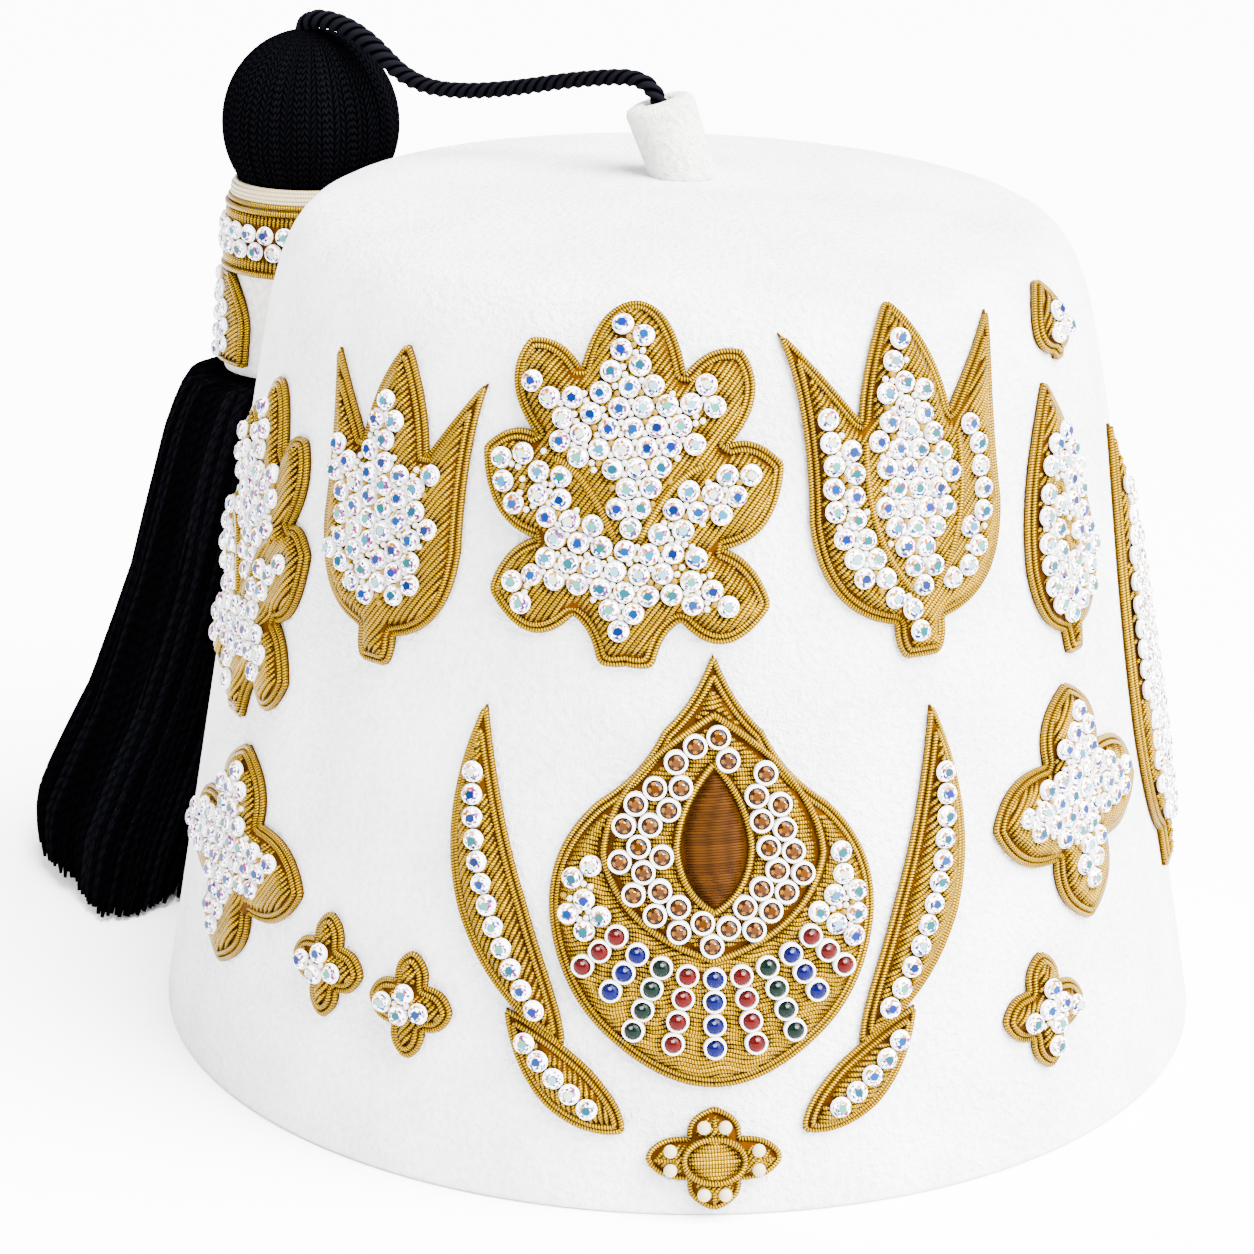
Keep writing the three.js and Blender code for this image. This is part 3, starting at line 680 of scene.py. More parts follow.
def nap_group():
    """Felt's nap: fine fibres, small clumps, and a slow mottle."""
    group, given, result = new_group(
        "felt_nap",
        [("Fibre", "NodeSocketFloat", 2400.0)],
        [("Height", "NodeSocketFloat"), ("Mottle", "NodeSocketFloat")],
    )
    place = node(group, "ShaderNodeTexCoord")
    fine = node(group, "ShaderNodeTexNoise", Detail=3.0, Roughness=0.7)
    clump = node(group, "ShaderNodeTexNoise", Scale=900.0, Detail=3.0)
    slow = node(group, "ShaderNodeTexNoise", Scale=60.0, Detail=2.0)
    for texture in (fine, clump, slow):
        group.links.new(place.outputs["Object"], texture.inputs["Vector"])
    group.links.new(given.outputs["Fibre"], fine.inputs["Scale"])
    height = math_node(group, "ADD", fine.outputs[0], math_node(group, "MULTIPLY", clump.outputs[0], 1.6))
    group.links.new(height, result.inputs["Height"])
    mottle = math_node(group, "ADD", math_node(group, "MULTIPLY", clump.outputs[0], 0.5),
                       math_node(group, "MULTIPLY", slow.outputs[0], 0.5))
    group.links.new(mottle, result.inputs["Mottle"])
    return group


RIDGES = ridges_group()
NAP = nap_group()


def place_group(tree, group, **values):
    made = tree.nodes.new("ShaderNodeGroup")
    made.node_tree = group
    for key, value in values.items():
        made.inputs[key].default_value = value
    return made


def ramp(tree, factor, stops):
    """Colours by a factor. stops is a list of (place, colour)."""
    made = tree.nodes.new("ShaderNodeValToRGB")
    elements = made.color_ramp.elements
    while len(elements) < len(stops):
        elements.new(0.5)
    for element, (place, shade) in zip(elements, stops):
        element.position = place
        element.color = (*shade, 1)
    tree.links.new(factor, made.inputs[0])
    return made.outputs[0]


def bump(tree, shader, height, strength, distance):
    made = node(tree, "ShaderNodeBump", Strength=strength, Distance=distance)
    tree.links.new(height, made.inputs["Height"])
    tree.links.new(made.outputs[0], shader.inputs["Normal"])


def mixed(tree, kind, factor, first, second):
    made = tree.nodes.new("ShaderNodeMix")
    made.data_type = "RGBA"
    made.blend_type = kind
    for socket, value in ((made.inputs[0], factor), (made.inputs[6], first), (made.inputs[7], second)):
        if isinstance(value, (int, float)):
            socket.default_value = value
        elif isinstance(value, tuple):
            socket.default_value = (*value, 1)
        else:
            tree.links.new(value, socket)
    return made.outputs[2]


def felt_finish(name, pale, deep):
    finish, tree, shader = new_finish(
        name, Roughness=0.95, Sheen_Weight=0.1, Sheen_Roughness=0.6, Specular_IOR_Level=0.1,
    )
    nap = place_group(tree, NAP)
    shade = ramp(tree, nap.outputs["Mottle"], [(0.36, deep), (0.62, pale)])
    tree.links.new(shade, shader.inputs["Base Color"])
    bump(tree, shader, nap.outputs["Height"], 1.0, 0.0007)
    return finish


def thread_finish(name, groove, ridge, pitch, strands, depth, **sockets):
    """Thread or cord with winding ridges, its own tint and a darker colour in the grooves: painted shade."""
    finish, tree, shader = new_finish(name, **sockets)
    uv = node(tree, "ShaderNodeUVMap", uv_map="lay")
    winding = place_group(tree, RIDGES, Pitch=pitch, Strands=strands)
    tree.links.new(uv.outputs[0], winding.inputs["UV"])
    shade = ramp(tree, winding.outputs["Ridge"], [(0.12, groove), (0.55, ridge)])
    tint = node(tree, "ShaderNodeAttribute", attribute_name="tint")
    tree.links.new(mixed(tree, "MULTIPLY", 1.0, shade, tint.outputs["Color"]), shader.inputs["Base Color"])
    bump(tree, shader, winding.outputs["Ridge"], 0.8, depth)
    return finish


def tinted_finish(name, roughness, **sockets):
    """A plain surface that takes each face's own tint, with a fine unevenness."""
    finish, tree, shader = new_finish(name, Roughness=roughness, **sockets)
    tint = node(tree, "ShaderNodeAttribute", attribute_name="tint")
    tree.links.new(tint.outputs["Color"], shader.inputs["Base Color"])
    place = node(tree, "ShaderNodeTexCoord")
    uneven = node(tree, "ShaderNodeTexNoise", Scale=900.0, Detail=1.0)
    tree.links.new(place.outputs["Object"], uneven.inputs["Vector"])
    spread = math_node(tree, "MULTIPLY", uneven.outputs[0], 0.5 * roughness)
    tree.links.new(math_node(tree, "ADD", spread, 0.75 * roughness), shader.inputs["Roughness"])
    return finish


WHITE_FELT = felt_finish("white_felt", (0.73, 0.735, 0.765), (0.55, 0.555, 0.585))
STEM_FELT = felt_finish("stem_felt", (0.72, 0.7, 0.67), (0.46, 0.44, 0.41))
# In the thread finishes, the first colour is the grooves' painted shade, the second the ridges' colour.
GOLD_CORD = thread_finish(
    "gold_cord", colour(84, 36, 4), colour(255, 204, 44), 0.46, 1.0, 0.00016,
    Metallic=0.72, Roughness=0.24, Specular_IOR_Level=0.0,
)
LAID_GOLD = thread_finish(
    "laid_gold", colour(146, 86, 12), colour(255, 208, 44), 0.46, 1.0, 0.00008,
    Metallic=0.72, Roughness=0.25, Specular_IOR_Level=0.0,
)
GOLD_GROUND = tinted_finish("gold_ground", 0.6, Metallic=0.3, Specular_IOR_Level=0.0)
CRYSTAL = tinted_finish("cut_crystal", 0.08, Specular_IOR_Level=0.06)
PEARL_CUP = tinted_finish("pearl_cup", 0.3, Specular_IOR_Level=0.1)
BEAD = tinted_finish("seed_bead", 0.2, Specular_IOR_Level=0.12)
BROWN_SILK = thread_finish(
    "brown_silk", colour(88, 52, 22), colour(106, 64, 28), 3.0, 1.0, 0.00001,
    Roughness=0.5, Specular_IOR_Level=0.02,
)
# On the black rayons below, whose shaders have no gloss, the lighter ridge colour is a painted highlight.
BLACK_RAYON = thread_finish(
    "black_rayon", (0.0001, 0.0001, 0.0001), (0.0011, 0.0011, 0.0016), 1.25, 2.0, 0.0002,
    Roughness=0.5, Specular_IOR_Level=0.0,
)
CREAM_THREAD = thread_finish(
    "cream_thread", colour(222, 202, 160), colour(234, 218, 180), 0.5, 1.0, 0.00002,
    Roughness=0.4, Specular_IOR_Level=0.15,
)
HANGING_RAYON = thread_finish(
    "hanging_rayon", (0.0003, 0.0003, 0.0004), (0.0006, 0.0006, 0.0009), 2.6, 2.0, 0.00003,
    Roughness=0.5, Specular_IOR_Level=0.0,
)
TWISTED_RAYON = thread_finish(
    "twisted_rayon", (0.0001, 0.0001, 0.0002), (0.0024, 0.0024, 0.0034),
    CORD_TWIST / CORD_STRANDS, -CORD_STRANDS, 0.0001, Roughness=0.5, Specular_IOR_Level=0.0,
)
FINISHES = [
    GOLD_CORD, LAID_GOLD, GOLD_GROUND, CRYSTAL, PEARL_CUP, BEAD, BROWN_SILK, BLACK_RAYON, CREAM_THREAD,
    HANGING_RAYON, TWISTED_RAYON,
]
(CORD_SLOT, LAID_SLOT, GROUND_SLOT, STONE_SLOT, CUP_SLOT, BEAD_SLOT, SILK_SLOT, BLACK_SLOT, CREAM_SLOT,
 HANGING_SLOT, TWIST_SLOT) = range(len(FINISHES))


def colours(*shown):
    return np.array([colour(*values) for values in shown])


# Crystals with a rainbow coating: the table takes one strong colour, the facets white with small flecks of
# painted reflection
TABLE_COLOURS = colours(
    (16, 84, 160), (14, 112, 140), (70, 176, 214), (110, 206, 190), (14, 58, 130), (20, 136, 140),
    (34, 66, 168), (150, 214, 226), (206, 224, 200), (30, 100, 176),
)
# Painted reflections of the coating, as flecks on the upper left, on the right, and elsewhere
REFLECTION_FLECK_COLOURS = np.array([
    colours((230, 140, 60), (240, 196, 96), (214, 108, 70), (236, 176, 150)),
    colours((190, 60, 130), (220, 130, 184), (130, 60, 160), (40, 90, 176)),
    colours((30, 54, 136), (90, 70, 160), (50, 150, 186), (226, 176, 200)),
])
FACET_WHITES = colours((248, 248, 250), (228, 230, 240), (240, 232, 238), (206, 210, 224))
TABLE_REACH = 0.3  # faces nearer to the stone's middle are its table
# Amber: its own browns laid out as painted light, dark facets in shade and an orange star of lit facets.
AMBER_DARK, AMBER_LIT_STAR, AMBER_MIDDLE = colour(58, 28, 0), colour(226, 146, 10), colour(124, 72, 2)
RUBY, SAPPHIRE, EMERALD = colour(132, 0, 8), colour(0, 14, 130), colour(0, 46, 34)
CUP_WHITE = colour(229, 227, 225)
PEARL_CREAM = colour(232, 216, 176)
BEAD_GOLD = colour(222, 172, 60)
BEAD_PALE = colour(224, 222, 212)
GOLD_SHADOW = colour(124, 74, 10)


def crystal_tints(count, reach, bearing):
    """Crystal facet colours: a strong colour in the middle, flecks of painted reflection about it, a white
    edge.
    """
    family = np.select([np.abs(bearing - 2.2) < 1.1, np.abs(bearing) < 1.1], [0, 1], 2)
    size = (count, len(reach))
    flecks = REFLECTION_FLECK_COLOURS[family[None], chance.integers(0, REFLECTION_FLECK_COLOURS.shape[1], size)]
    whites = FACET_WHITES[chance.integers(0, len(FACET_WHITES), size)]
    reflecting = chance.random(size) < np.clip(1.3 - 0.8 * reach, 0.12, 0.7)
    tables = TABLE_COLOURS[chance.integers(0, len(TABLE_COLOURS), count)]
    facets = np.where(reflecting[..., None], flecks, whites)
    return np.where((reach < TABLE_REACH)[None, :, None], tables[:, None], facets)


def amber_tints(count, reach, bearing):
    """Amber facet colours: painted shade on the dark ones, a lit orange star, a small white painted
    highlight.
    """
    star = (np.cos(4 * bearing) > 0.3) & (reach < 1.1)
    # a painted white highlight on the facets at the upper right, in the cups' white
    painted_glint = (np.abs(bearing - 0.9) < 0.2) & (reach > 0.5) & (reach < 0.8)
    shades = np.where(star[:, None], AMBER_LIT_STAR, AMBER_DARK)
    shades = np.where((reach < TABLE_REACH)[:, None], AMBER_MIDDLE, shades)
    shades = np.where(painted_glint[:, None], CUP_WHITE, shades)
    return shades[None] * (0.6 + 0.7 * chance.random((count, len(reach), 1)))


def gem_tints(shades):
    """Smooth stones' colours: painted shade above, a painted glow below, a small painted highlight near the
    top.
    """
    def tints(count, reach, bearing):
        painted_highlight = (np.abs(bearing - 1.6) < 0.36) & (reach > 0.45) & (reach < 0.8)
        # glow: painted shade on the upper half, a painted glow on the lower, brightest at the painted
        # highlight
        glow = np.where(painted_highlight, 1.2, 0.72 - 0.4 * reach * np.sin(bearing))
        return np.array(shades)[:, None] * glow[None, :, None] + 0.06 * painted_highlight[None, :, None]

    return tints


def plain_tints(shade):
    return lambda count, reach, bearing: np.tile(shade, (count, len(reach), 1))


def listed_tints(shades):
    return lambda count, reach, bearing: np.repeat(np.array(shades)[:, None], len(reach), axis=1)


# The motifs

# Columns: half outline, veins, angle round the crown, slant up the felt, width, height.
MOTIFS = {
    "palmette_left": (PALMETTE, PALMETTE_VEINS, -66, 89, 35, 56),
    "tulip_left": (TULIP, [], -39, 105, 31, 50),
    "palmette_front": (PALMETTE, PALMETTE_VEINS, -7, 113.5, 46, 55),
    "tulip_right": (TULIP, TULIP_VEINS, 28.5, 113, 38, 55),
    "cypress_small": (CYPRESS, [], 54, 101, 20, 44),
    "bud_right": (CYPRESS, [], 59, 132, 11, 13),
    "cypress_tall": (CYPRESS, [], 77, 70, 21, 78),
    "flower_left": (PETALS, [], -61, 39, 42, 37),
    "flower_right": (PETALS, [], 51, 55, 40, 39),
    "sprig_left_outer": (PETALS, [], -41.5, 30, 15, 17),
    "sprig_left_inner": (PETALS, [], -30, 28, 15, 17),
    "sprig_right": (PETALS, [], 42, 24, 18, 19),
}
MEDALLION = {"angle": 3, "slant": 54.5, "width": 50, "height": 67}
# Columns: angle from the medallion, slant, width, height, turn, bend.
LEAVES = {"long": (25, 50, 11, 54, 17, 0.009), "short": (16, 21, 9, 26, 48, 0.008)}

PAD_EDGE = 0.6
PAD_RISE = 1.5
PAD_SLOPE = 3.2  # the padding rises over this distance from its outline
PAD_SINK = 0.3
PAD_CELL = 3.5
CORD_RADIUS = 0.5
CORD_INSETS = (0.2, 1.15)
STRIP_RADIUS = 0.4
STRIP_PITCH = 0.72
THREAD_TAPER = 0.5
WIDE_MOTIF = 22
STONE_PITCH = 3.42
STONE_MARGIN = 3.1
SMALL_STONE_MARGIN = 2.9  # on motifs that aren't wide
STONE_SHADOW = (1.7, -1.1)  # the laid gold shows to the right of the stones and below them
STONE_CLEARANCE = 1.35  # the laid gold keeps this far from a stone's middle
BEAD_MARGIN = 2.2
BEAD_PITCH = 1.0
BEAD_NEAR = 3.3  # a bead has three stones nearer than this


def pad_lift(depth):
    """How far the padding stands off the felt, by the distance from its outline."""
    share = np.clip(depth / PAD_SLOPE, 0, 1)
    return PAD_EDGE + PAD_RISE * share * share * (3 - 2 * share)


def add_pad(work, outline, lay, lift=pad_lift):
    """The padding under the gold: an outline filled, cut into small faces, thickened and laid on the felt."""
    piece = start_form(bpy.ops.mesh.primitive_circle_add, vertices=len(outline), radius=1, fill_type="NGON")
    for vertex, (x, y) in zip(piece.data.vertices, outline):
        vertex.co = (x, y, 0)
    bpy.ops.object.mode_set(mode="EDIT")
    low, high = outline.min(0), outline.max(0)
    for axis, normal in enumerate(((1, 0, 0), (0, 1, 0))):
        for place in np.arange(low[axis] + 2.5, high[axis] - 1, PAD_CELL):
            bpy.ops.mesh.select_all(action="SELECT")
            bpy.ops.mesh.bisect(plane_co=(place * normal[0], place * normal[1], 0), plane_no=normal)
    bpy.ops.mesh.select_all(action="SELECT")
    bpy.ops.mesh.extrude_region_move(TRANSFORM_OT_translate={"value": (0, 0, -1)})
    bpy.ops.mesh.select_all(action="SELECT")
    bpy.ops.mesh.normals_make_consistent(inside=False)
    bpy.ops.mesh.select_all(action="DESELECT")
    points, faces = forms_of(piece)
    depth = np.maximum(depth_in(points[:, :2], outline), 0)
    height = np.where(points[:, 2] < -0.5, -PAD_SINK, lift(depth))
    work.add(lay(points[:, :2], height), faces, GROUND_SLOT, False, None, GOLD_SHADOW)


def lay_cord(work, flat, lay, lift, radius=CORD_RADIUS, material=CORD_SLOT, closed=True, **more):
    """A cord or thread along a flat path on a patch."""
    path = lay(flat, lift)
    sweep(work, path, lay(flat, lift + 1) - path, radius, material, closed=closed, **more)


def edge_cords(work, outline, lay, insets=CORD_INSETS):
    for margin in insets:
        lay_cord(work, evened(inset(outline, margin), OUTLINE_STEP, True), lay, pad_lift(margin) + 0.1)


def lay_strips(work, outline, lay, degrees, margin, allowed, pitch=STRIP_PITCH, lift=pad_lift, wave=0.0,
               material=LAID_SLOT, radius=STRIP_RADIUS):
    """Lays strips of thread side by side over a field, leaving out what the test doesn't allow."""
    turn = math.radians(degrees)
    way = np.array([math.cos(turn), math.sin(turn)])
    across = np.array([-way[1], way[0]])
    reach = np.abs(outline).max() * 1.5
    along = np.arange(-reach, reach, 0.5)
    for offset in np.arange(-reach, reach, pitch):
        sway = wave * np.sin(along * 0.9 + 0.4 * math.sin(offset))
        line = along[:, None] * way + (offset + sway)[:, None] * across
        depth = depth_in(line, outline)
        if depth.max() < margin:
            continue
        good = (depth > margin) & allowed(line)
        edges = np.flatnonzero(np.diff(np.concatenate([[0], good.astype(int), [0]])))
        for first, last in zip(edges[::2], edges[1::2]):
            if last - first < 3:
                continue
            steps = max(int((last - first) / 3), 2)
            pick = np.unique(np.linspace(first, last - 1, steps + 1).round().astype(int))
            height = lift(depth[pick]) + 0.12 + 0.1 * chance.random()
            shade = 0.72 + 0.46 * chance.random()
            lay_cord(work, line[pick], lay, height, radius, material, False, shade=shade, taper=THREAD_TAPER)


def vein_paths(veins, width, height):
    paths = []
    for vein in veins:
        points = curve_points([vein[0:2], vein[2:4], vein[4:6]], 30) * (width / 2, height / 2)
        paths.append(evened(points, OUTLINE_STEP, False))
        paths.append(paths[-1] * (-1, 1))
    return paths


def set_stones(work, places, lay, lifts, tints, stone, cup, smooth=False):
    """Sets stones in their cups. Each is turned and tilted a little differently."""
    middles, normals, sides = stand_on(lay, places, lifts)
    turns = (chance.random(len(places)) - 0.5) * 0.8
    tilt = (chance.random((len(places), 3)) - 0.5) * 0.12
    normals = unit(normals + tilt)
    turned = sides * np.cos(turns)[:, None] + np.cross(normals, sides) * np.sin(turns)[:, None]
    set_in_place(work, stone, middles, normals, turned, STONE_SLOT, smooth, tints)
    set_in_place(work, cup, middles, normals, turned, CUP_SLOT, False, plain_tints(CUP_WHITE))


def set_crystals(work, places, lay, lifts):
    set_stones(work, places, lay, lifts, crystal_tints, CUT_STONE, PEARL_CUP_FORM)


def off_stones(stones):
    """Returns the test for points that are clear of the stones."""
    return lambda points: gaps_to(points, stones).min(1) > STONE_CLEARANCE


def fill_beads(work, outline, lay, stones, veins):
    """Small beads in the gaps between the stones."""

    def room(points):
        gap = gaps_to(points, stones)
        spare = np.minimum(depth_in(points, outline) - BEAD_MARGIN, gap.min(1) - CUP_RADIUS - 0.12)
        for vein in veins:
            spare = np.minimum(spare, distance_to(points, vein, False) - 1.0)
        return np.where((gap < BEAD_NEAR).sum(1) >= 3, spare, -1)

    places = pack_round(outline, BEAD_PITCH, room)
    if len(places) == 0:
        return
    middles, normals, sides = stand_on(lay, places, pad_lift(depth_in(places, outline)) + 0.45)
    shades = np.where(chance.random(len(places))[:, None] < 0.75, BEAD_PALE, BEAD_GOLD)
    set_in_place(work, BEAD_FORM, middles, normals, sides, BEAD_SLOT, True, listed_tints(shades))


def embroider(name, half, veins, angle, slant, width, height):
    """One raised motif: padding, laid gold, corded edge and veins, crystals and small beads."""
    work = Work()
    lay = crown_patch({"angle": angle, "slant": slant})
    outline = outline_of(half, width, height)
    paths = vein_paths(veins, width, height)
    margin = STONE_MARGIN if width > WIDE_MOTIF else SMALL_STONE_MARGIN
    shadow = STONE_SHADOW if width > WIDE_MOTIF else (0.0, 0.0)

    def room(points):
        spare = np.minimum(depth_in(points, outline), depth_in(points + shadow, outline)) - margin
        for path in paths:
            spare = np.minimum(spare, distance_to(points, path, False) - 1.95)
        return spare

    places = pack_round(outline, STONE_PITCH, room)
    add_pad(work, outline, lay)
    lay_strips(work, outline, lay, 55 if angle < 20 else 46, 1.4, off_stones(places))
    edge_cords(work, outline, lay)
    for path in paths:
        lay_cord(work, path, lay, pad_lift(depth_in(path, outline)) + 0.4, 0.6, closed=False, taper=0.8)
    set_crystals(work, places, lay, pad_lift(depth_in(places, outline)))
    fill_beads(work, outline, lay, places, paths)
    return work.make(name + "_embroidery", FINISHES), name


def leaf_patch(side_sign, leaf):
    across, slant, width, height, turn, bend = leaf
    return crown_patch({
        "angle": MEDALLION["angle"] + side_sign * across,
        "slant": slant,
        "turn": -side_sign * turn,
        "bend": -side_sign * bend,
    })


def embroider_leaf(name, side_sign, leaf):
    """A leaf with one row of crystals between gold cords."""
    work = Work()
    lay = leaf_patch(side_sign, leaf)
    width, height = leaf[2:4]
    outline = outline_of(LEAF, width, height)
    places = np.array([(0.0, y) for y in np.arange(-height * 0.38, height * 0.36, STONE_PITCH)])
    places = places[depth_in(places, outline) > 2.3]
    add_pad(work, outline, lay)
    lay_strips(work, outline, lay, 50, 1.4, off_stones(places))
    edge_cords(work, outline, lay)
    set_crystals(work, places, lay, pad_lift(depth_in(places, outline)))
    return work.make(name + "_embroidery", FINISHES), name


# The medallion: amber stones round a silk seed, a fan of coloured stones under them, waved gold about them

# Widths and heights of the seed, of the well round it and of the amber field; how far up they lie
SEED = (10, 22)
WELL = (11.2, 23.2)
AMBER = (33, 38)
AMBER_UP = 5.5
AMBER_PITCH = 3.75
AMBER_DEPTH = 9.0  # the amber stones stand as high as on padding this deep
WAVED_PITCH = 0.66
FAN_UP, FAN_RAYS, FAN_SPREAD, FAN_FIRST, FAN_PITCH, FAN_ROWS = 4, 9, 92, 20.2, 3.6, 4
FAN_GAP = 3.7  # between the fan and the crystals at its ends
RIM_FOOT = -16  # how far down those crystals go
RAY_COLOURS = [RUBY, SAPPHIRE, EMERALD, RUBY, SAPPHIRE, RUBY, EMERALD, SAPPHIRE, RUBY]


def embroider_medallion():
    work = Work()
    lay = crown_patch(MEDALLION)
    outline = outline_of(POMEGRANATE, MEDALLION["width"], MEDALLION["height"])
    field = outline_of(LEAF, *AMBER) + (0, AMBER_UP)
    well = outline_of(LEAF, *WELL) + (0, AMBER_UP)
    rays = np.radians(-90 + FAN_SPREAD * (np.arange(FAN_RAYS) / (FAN_RAYS - 1) - 0.5))
    reaches = FAN_FIRST + FAN_PITCH * np.arange(FAN_ROWS)
    fan = np.array([(r * math.cos(a), FAN_UP + r * math.sin(a)) for a in rays for r in reaches])
    fan_shades = np.array([RAY_COLOURS[k] for k in range(FAN_RAYS) for _ in range(FAN_ROWS)])
    inside = depth_in(fan, outline) > 2.8
    fan, fan_shades = fan[inside], fan_shades[inside]

    def in_field(points):
        return np.minimum(depth_in(points, field) - 2.1, -depth_in(points, well) - 1.95)

    def on_rim(points):
        spare = np.minimum(depth_in(points, outline) - STONE_MARGIN, -depth_in(points, field) - 2.3)
        off_fan = gaps_to(points, fan).min(1) - FAN_GAP
        return np.minimum(np.minimum(spare, off_fan), points[:, 1] - RIM_FOOT)

    amber = pack_round(field, AMBER_PITCH, in_field)
    rim = pack_round(outline, STONE_PITCH, on_rim)
    stones = np.vstack([amber, rim, fan])

    def bare(points):
        return (gaps_to(points, stones).min(1) > 1.4) & (depth_in(points, field) < -0.5)

    def bare_amber(points):
        return (gaps_to(points, amber).min(1) > 1.6) & (depth_in(points, well) < -0.4)

    add_pad(work, outline, lay)
    edge_cords(work, outline, lay)
    lay_strips(work, outline, lay, 0, 1.6, bare, WAVED_PITCH, wave=0.35)
    lay_strips(work, field, lay, 0, 1.0, bare_amber, WAVED_PITCH, lambda depth: pad_lift(depth + 3.5))
    for path in (field, well):
        lay_cord(work, path, lay, pad_lift(np.maximum(depth_in(path, outline), 0)) + 0.5, 0.55)
    raised = pad_lift(np.full(len(amber), AMBER_DEPTH)) + 0.1
    set_stones(work, amber, lay, raised, amber_tints, AMBER_STONE, AMBER_CUP)
    set_crystals(work, rim, lay, pad_lift(depth_in(rim, outline)))
    fan_lift = pad_lift(depth_in(fan, outline))
    set_stones(work, fan, lay, fan_lift, gem_tints(fan_shades), ROUND_STONE, FAN_CUP, True)
    fill_beads(work, outline, lay, rim, [])
    return work.make("medallion_embroidery", FINISHES), "medallion"


def embroider_seed():
    """A silk seed in satin stitch."""
    work = Work()
    lay = crown_patch({**MEDALLION, "slant": MEDALLION["slant"] + AMBER_UP})
    outline = outline_of(LEAF, *SEED)

    def everywhere(points):
        return np.ones(len(points), bool)

    def lift(depth):
        return 2.2 + 0.9 * np.sqrt(np.clip(depth / 4, 0, 1))

    add_pad(work, outline, lay, lift)
    lay_strips(work, outline, lay, 4, 0.1, everywhere, 0.42, lift, material=SILK_SLOT, radius=0.26)
    return work.make("silk_seed", FINISHES), "medallion_seed"


def embroider_drop():
    """The small motif at the rim: a disc of gold satin in a cord, with pearls and little bars round it."""
    work = Work()
    lay = crown_patch({"angle": 3, "slant": 9.5})
    outline = outline_of(PETALS, 21, 16)
    disc = np.array([4.6, 3.5])
    turns = full_turn(60)
    pearls = np.array([(x * a, y * b) for x in (-1, 1) for y in (-1, 1) for a, b in ((6.7, 1.5), (1.6, 5.3))])
    bars = [((5.4, 0), (9.2, 0)), ((-5.4, 0), (-9.2, 0)), ((0, 4.3), (0, 6.9)), ((0, -4.3), (0, -6.9))]

    def on_disc(points):
        return np.linalg.norm(points / (disc - 0.2), axis=1) < 1

    def off_disc(points):
        return np.linalg.norm(points / (disc + 0.2), axis=1) > 1

    add_pad(work, outline, lay)
    lay_strips(work, outline, lay, 3, 1.2, on_disc, 0.62)
    lay_strips(work, outline, lay, 50, 0.9, off_disc, 0.62)
    lay_cord(work, np.stack([np.cos(turns), np.sin(turns)], axis=1) * disc, lay, pad_lift(2.6) + 0.5)
    for start, end in bars:
        lay_cord(work, np.linspace(start, end, 4), lay, pad_lift(1.6) + 0.7, 0.42, closed=False, taper=0.4)
    middles, normals, sides = stand_on(lay, pearls, pad_lift(np.full(len(pearls), 1.6)) + 0.9)
    set_in_place(work, PEARL_FORM, middles, normals, sides, BEAD_SLOT, True, plain_tints(PEARL_CREAM))
    edge_cords(work, outline, lay, (0.2,))
    return work.make("drop_embroidery", FINISHES), "drop_front"


# The tassel

CORD_TIGHT = 0.97
CORD_LOOSENING = 0.25  # it opens by this share over the ball
CORD_LOOSE_FROM = 52  # the length at which it begins to open
CORD_LOOSE_OVER = 20
CORD_TAIL = [(-68.9, 57.3, 158.5), (-69.3, 57.6, 156.6), (-69.2, 57.6, 154.6)]
CORD_OVERLAP = 0.6  # of the tail and the cord


def twist_strands(work, path, start):
    up = np.tile((0.3, 0.2, 1.0), (len(path), 1))
    loose = np.clip((start + running_length(path) - CORD_LOOSE_FROM) / CORD_LOOSE_OVER, 0, 1)
    radius = CORD_DIAMETER / 2 * (CORD_TIGHT + CORD_LOOSENING * loose * loose * (3 - 2 * loose))
    sweep(work, path, up, radius, TWIST_SLOT, 18, lobes=(CORD_STRANDS, CORD_GROOVE, CORD_TWIST), start=start)


def cord_line(points):
    """A smooth line through the route's points, at even steps."""
    points = np.array(points, float)
    ends = np.vstack([2 * points[0] - points[1], points, 2 * points[-1] - points[-2]])
    t = np.linspace(0, 1, 9)[:-1, None]
    rows = []
    for k in range(len(points) - 1):
        a, b, c, d = ends[k:k + 4]
        bend = (2 * a - 5 * b + 4 * c - d) * t**2 + (3 * b - a - 3 * c + d) * t**3
        rows.append(0.5 * (2 * b + (c - a) * t + bend))
    return evened(np.vstack(rows + [points[-1:]]), 0.4, False) + (0, FORWARD, 0)


def twisted_cord():
    """The black cord from the stem to the ball, twisted from three strands."""
    work = Work()
    path = cord_line(CORD_ROUTE)
    twist_strands(work, path, 0)
    return work.make("twisted_cord", FINISHES), path


def tuck_cord(work):
    """The cord's last bit, bent down into the ball's top."""
    whole = cord_line(CORD_ROUTE + CORD_TAIL)
    reach = running_length(whole)
    tail = reach > running_length(cord_line(CORD_ROUTE))[-1] - CORD_OVERLAP
    twist_strands(work, whole[tail], reach[tail][0])


BALL_RADIUS = 16
BALL_MIDDLE = (-5.2, 1.4, 141.6)
BALL_TALL = (1.0, 1.0, 1.075)
BALL_FOOT = -13.5  # the core is cut flat this far under its middle
BALL_CORDS = 132
BALL_CORD_OVERLAP = 1.04


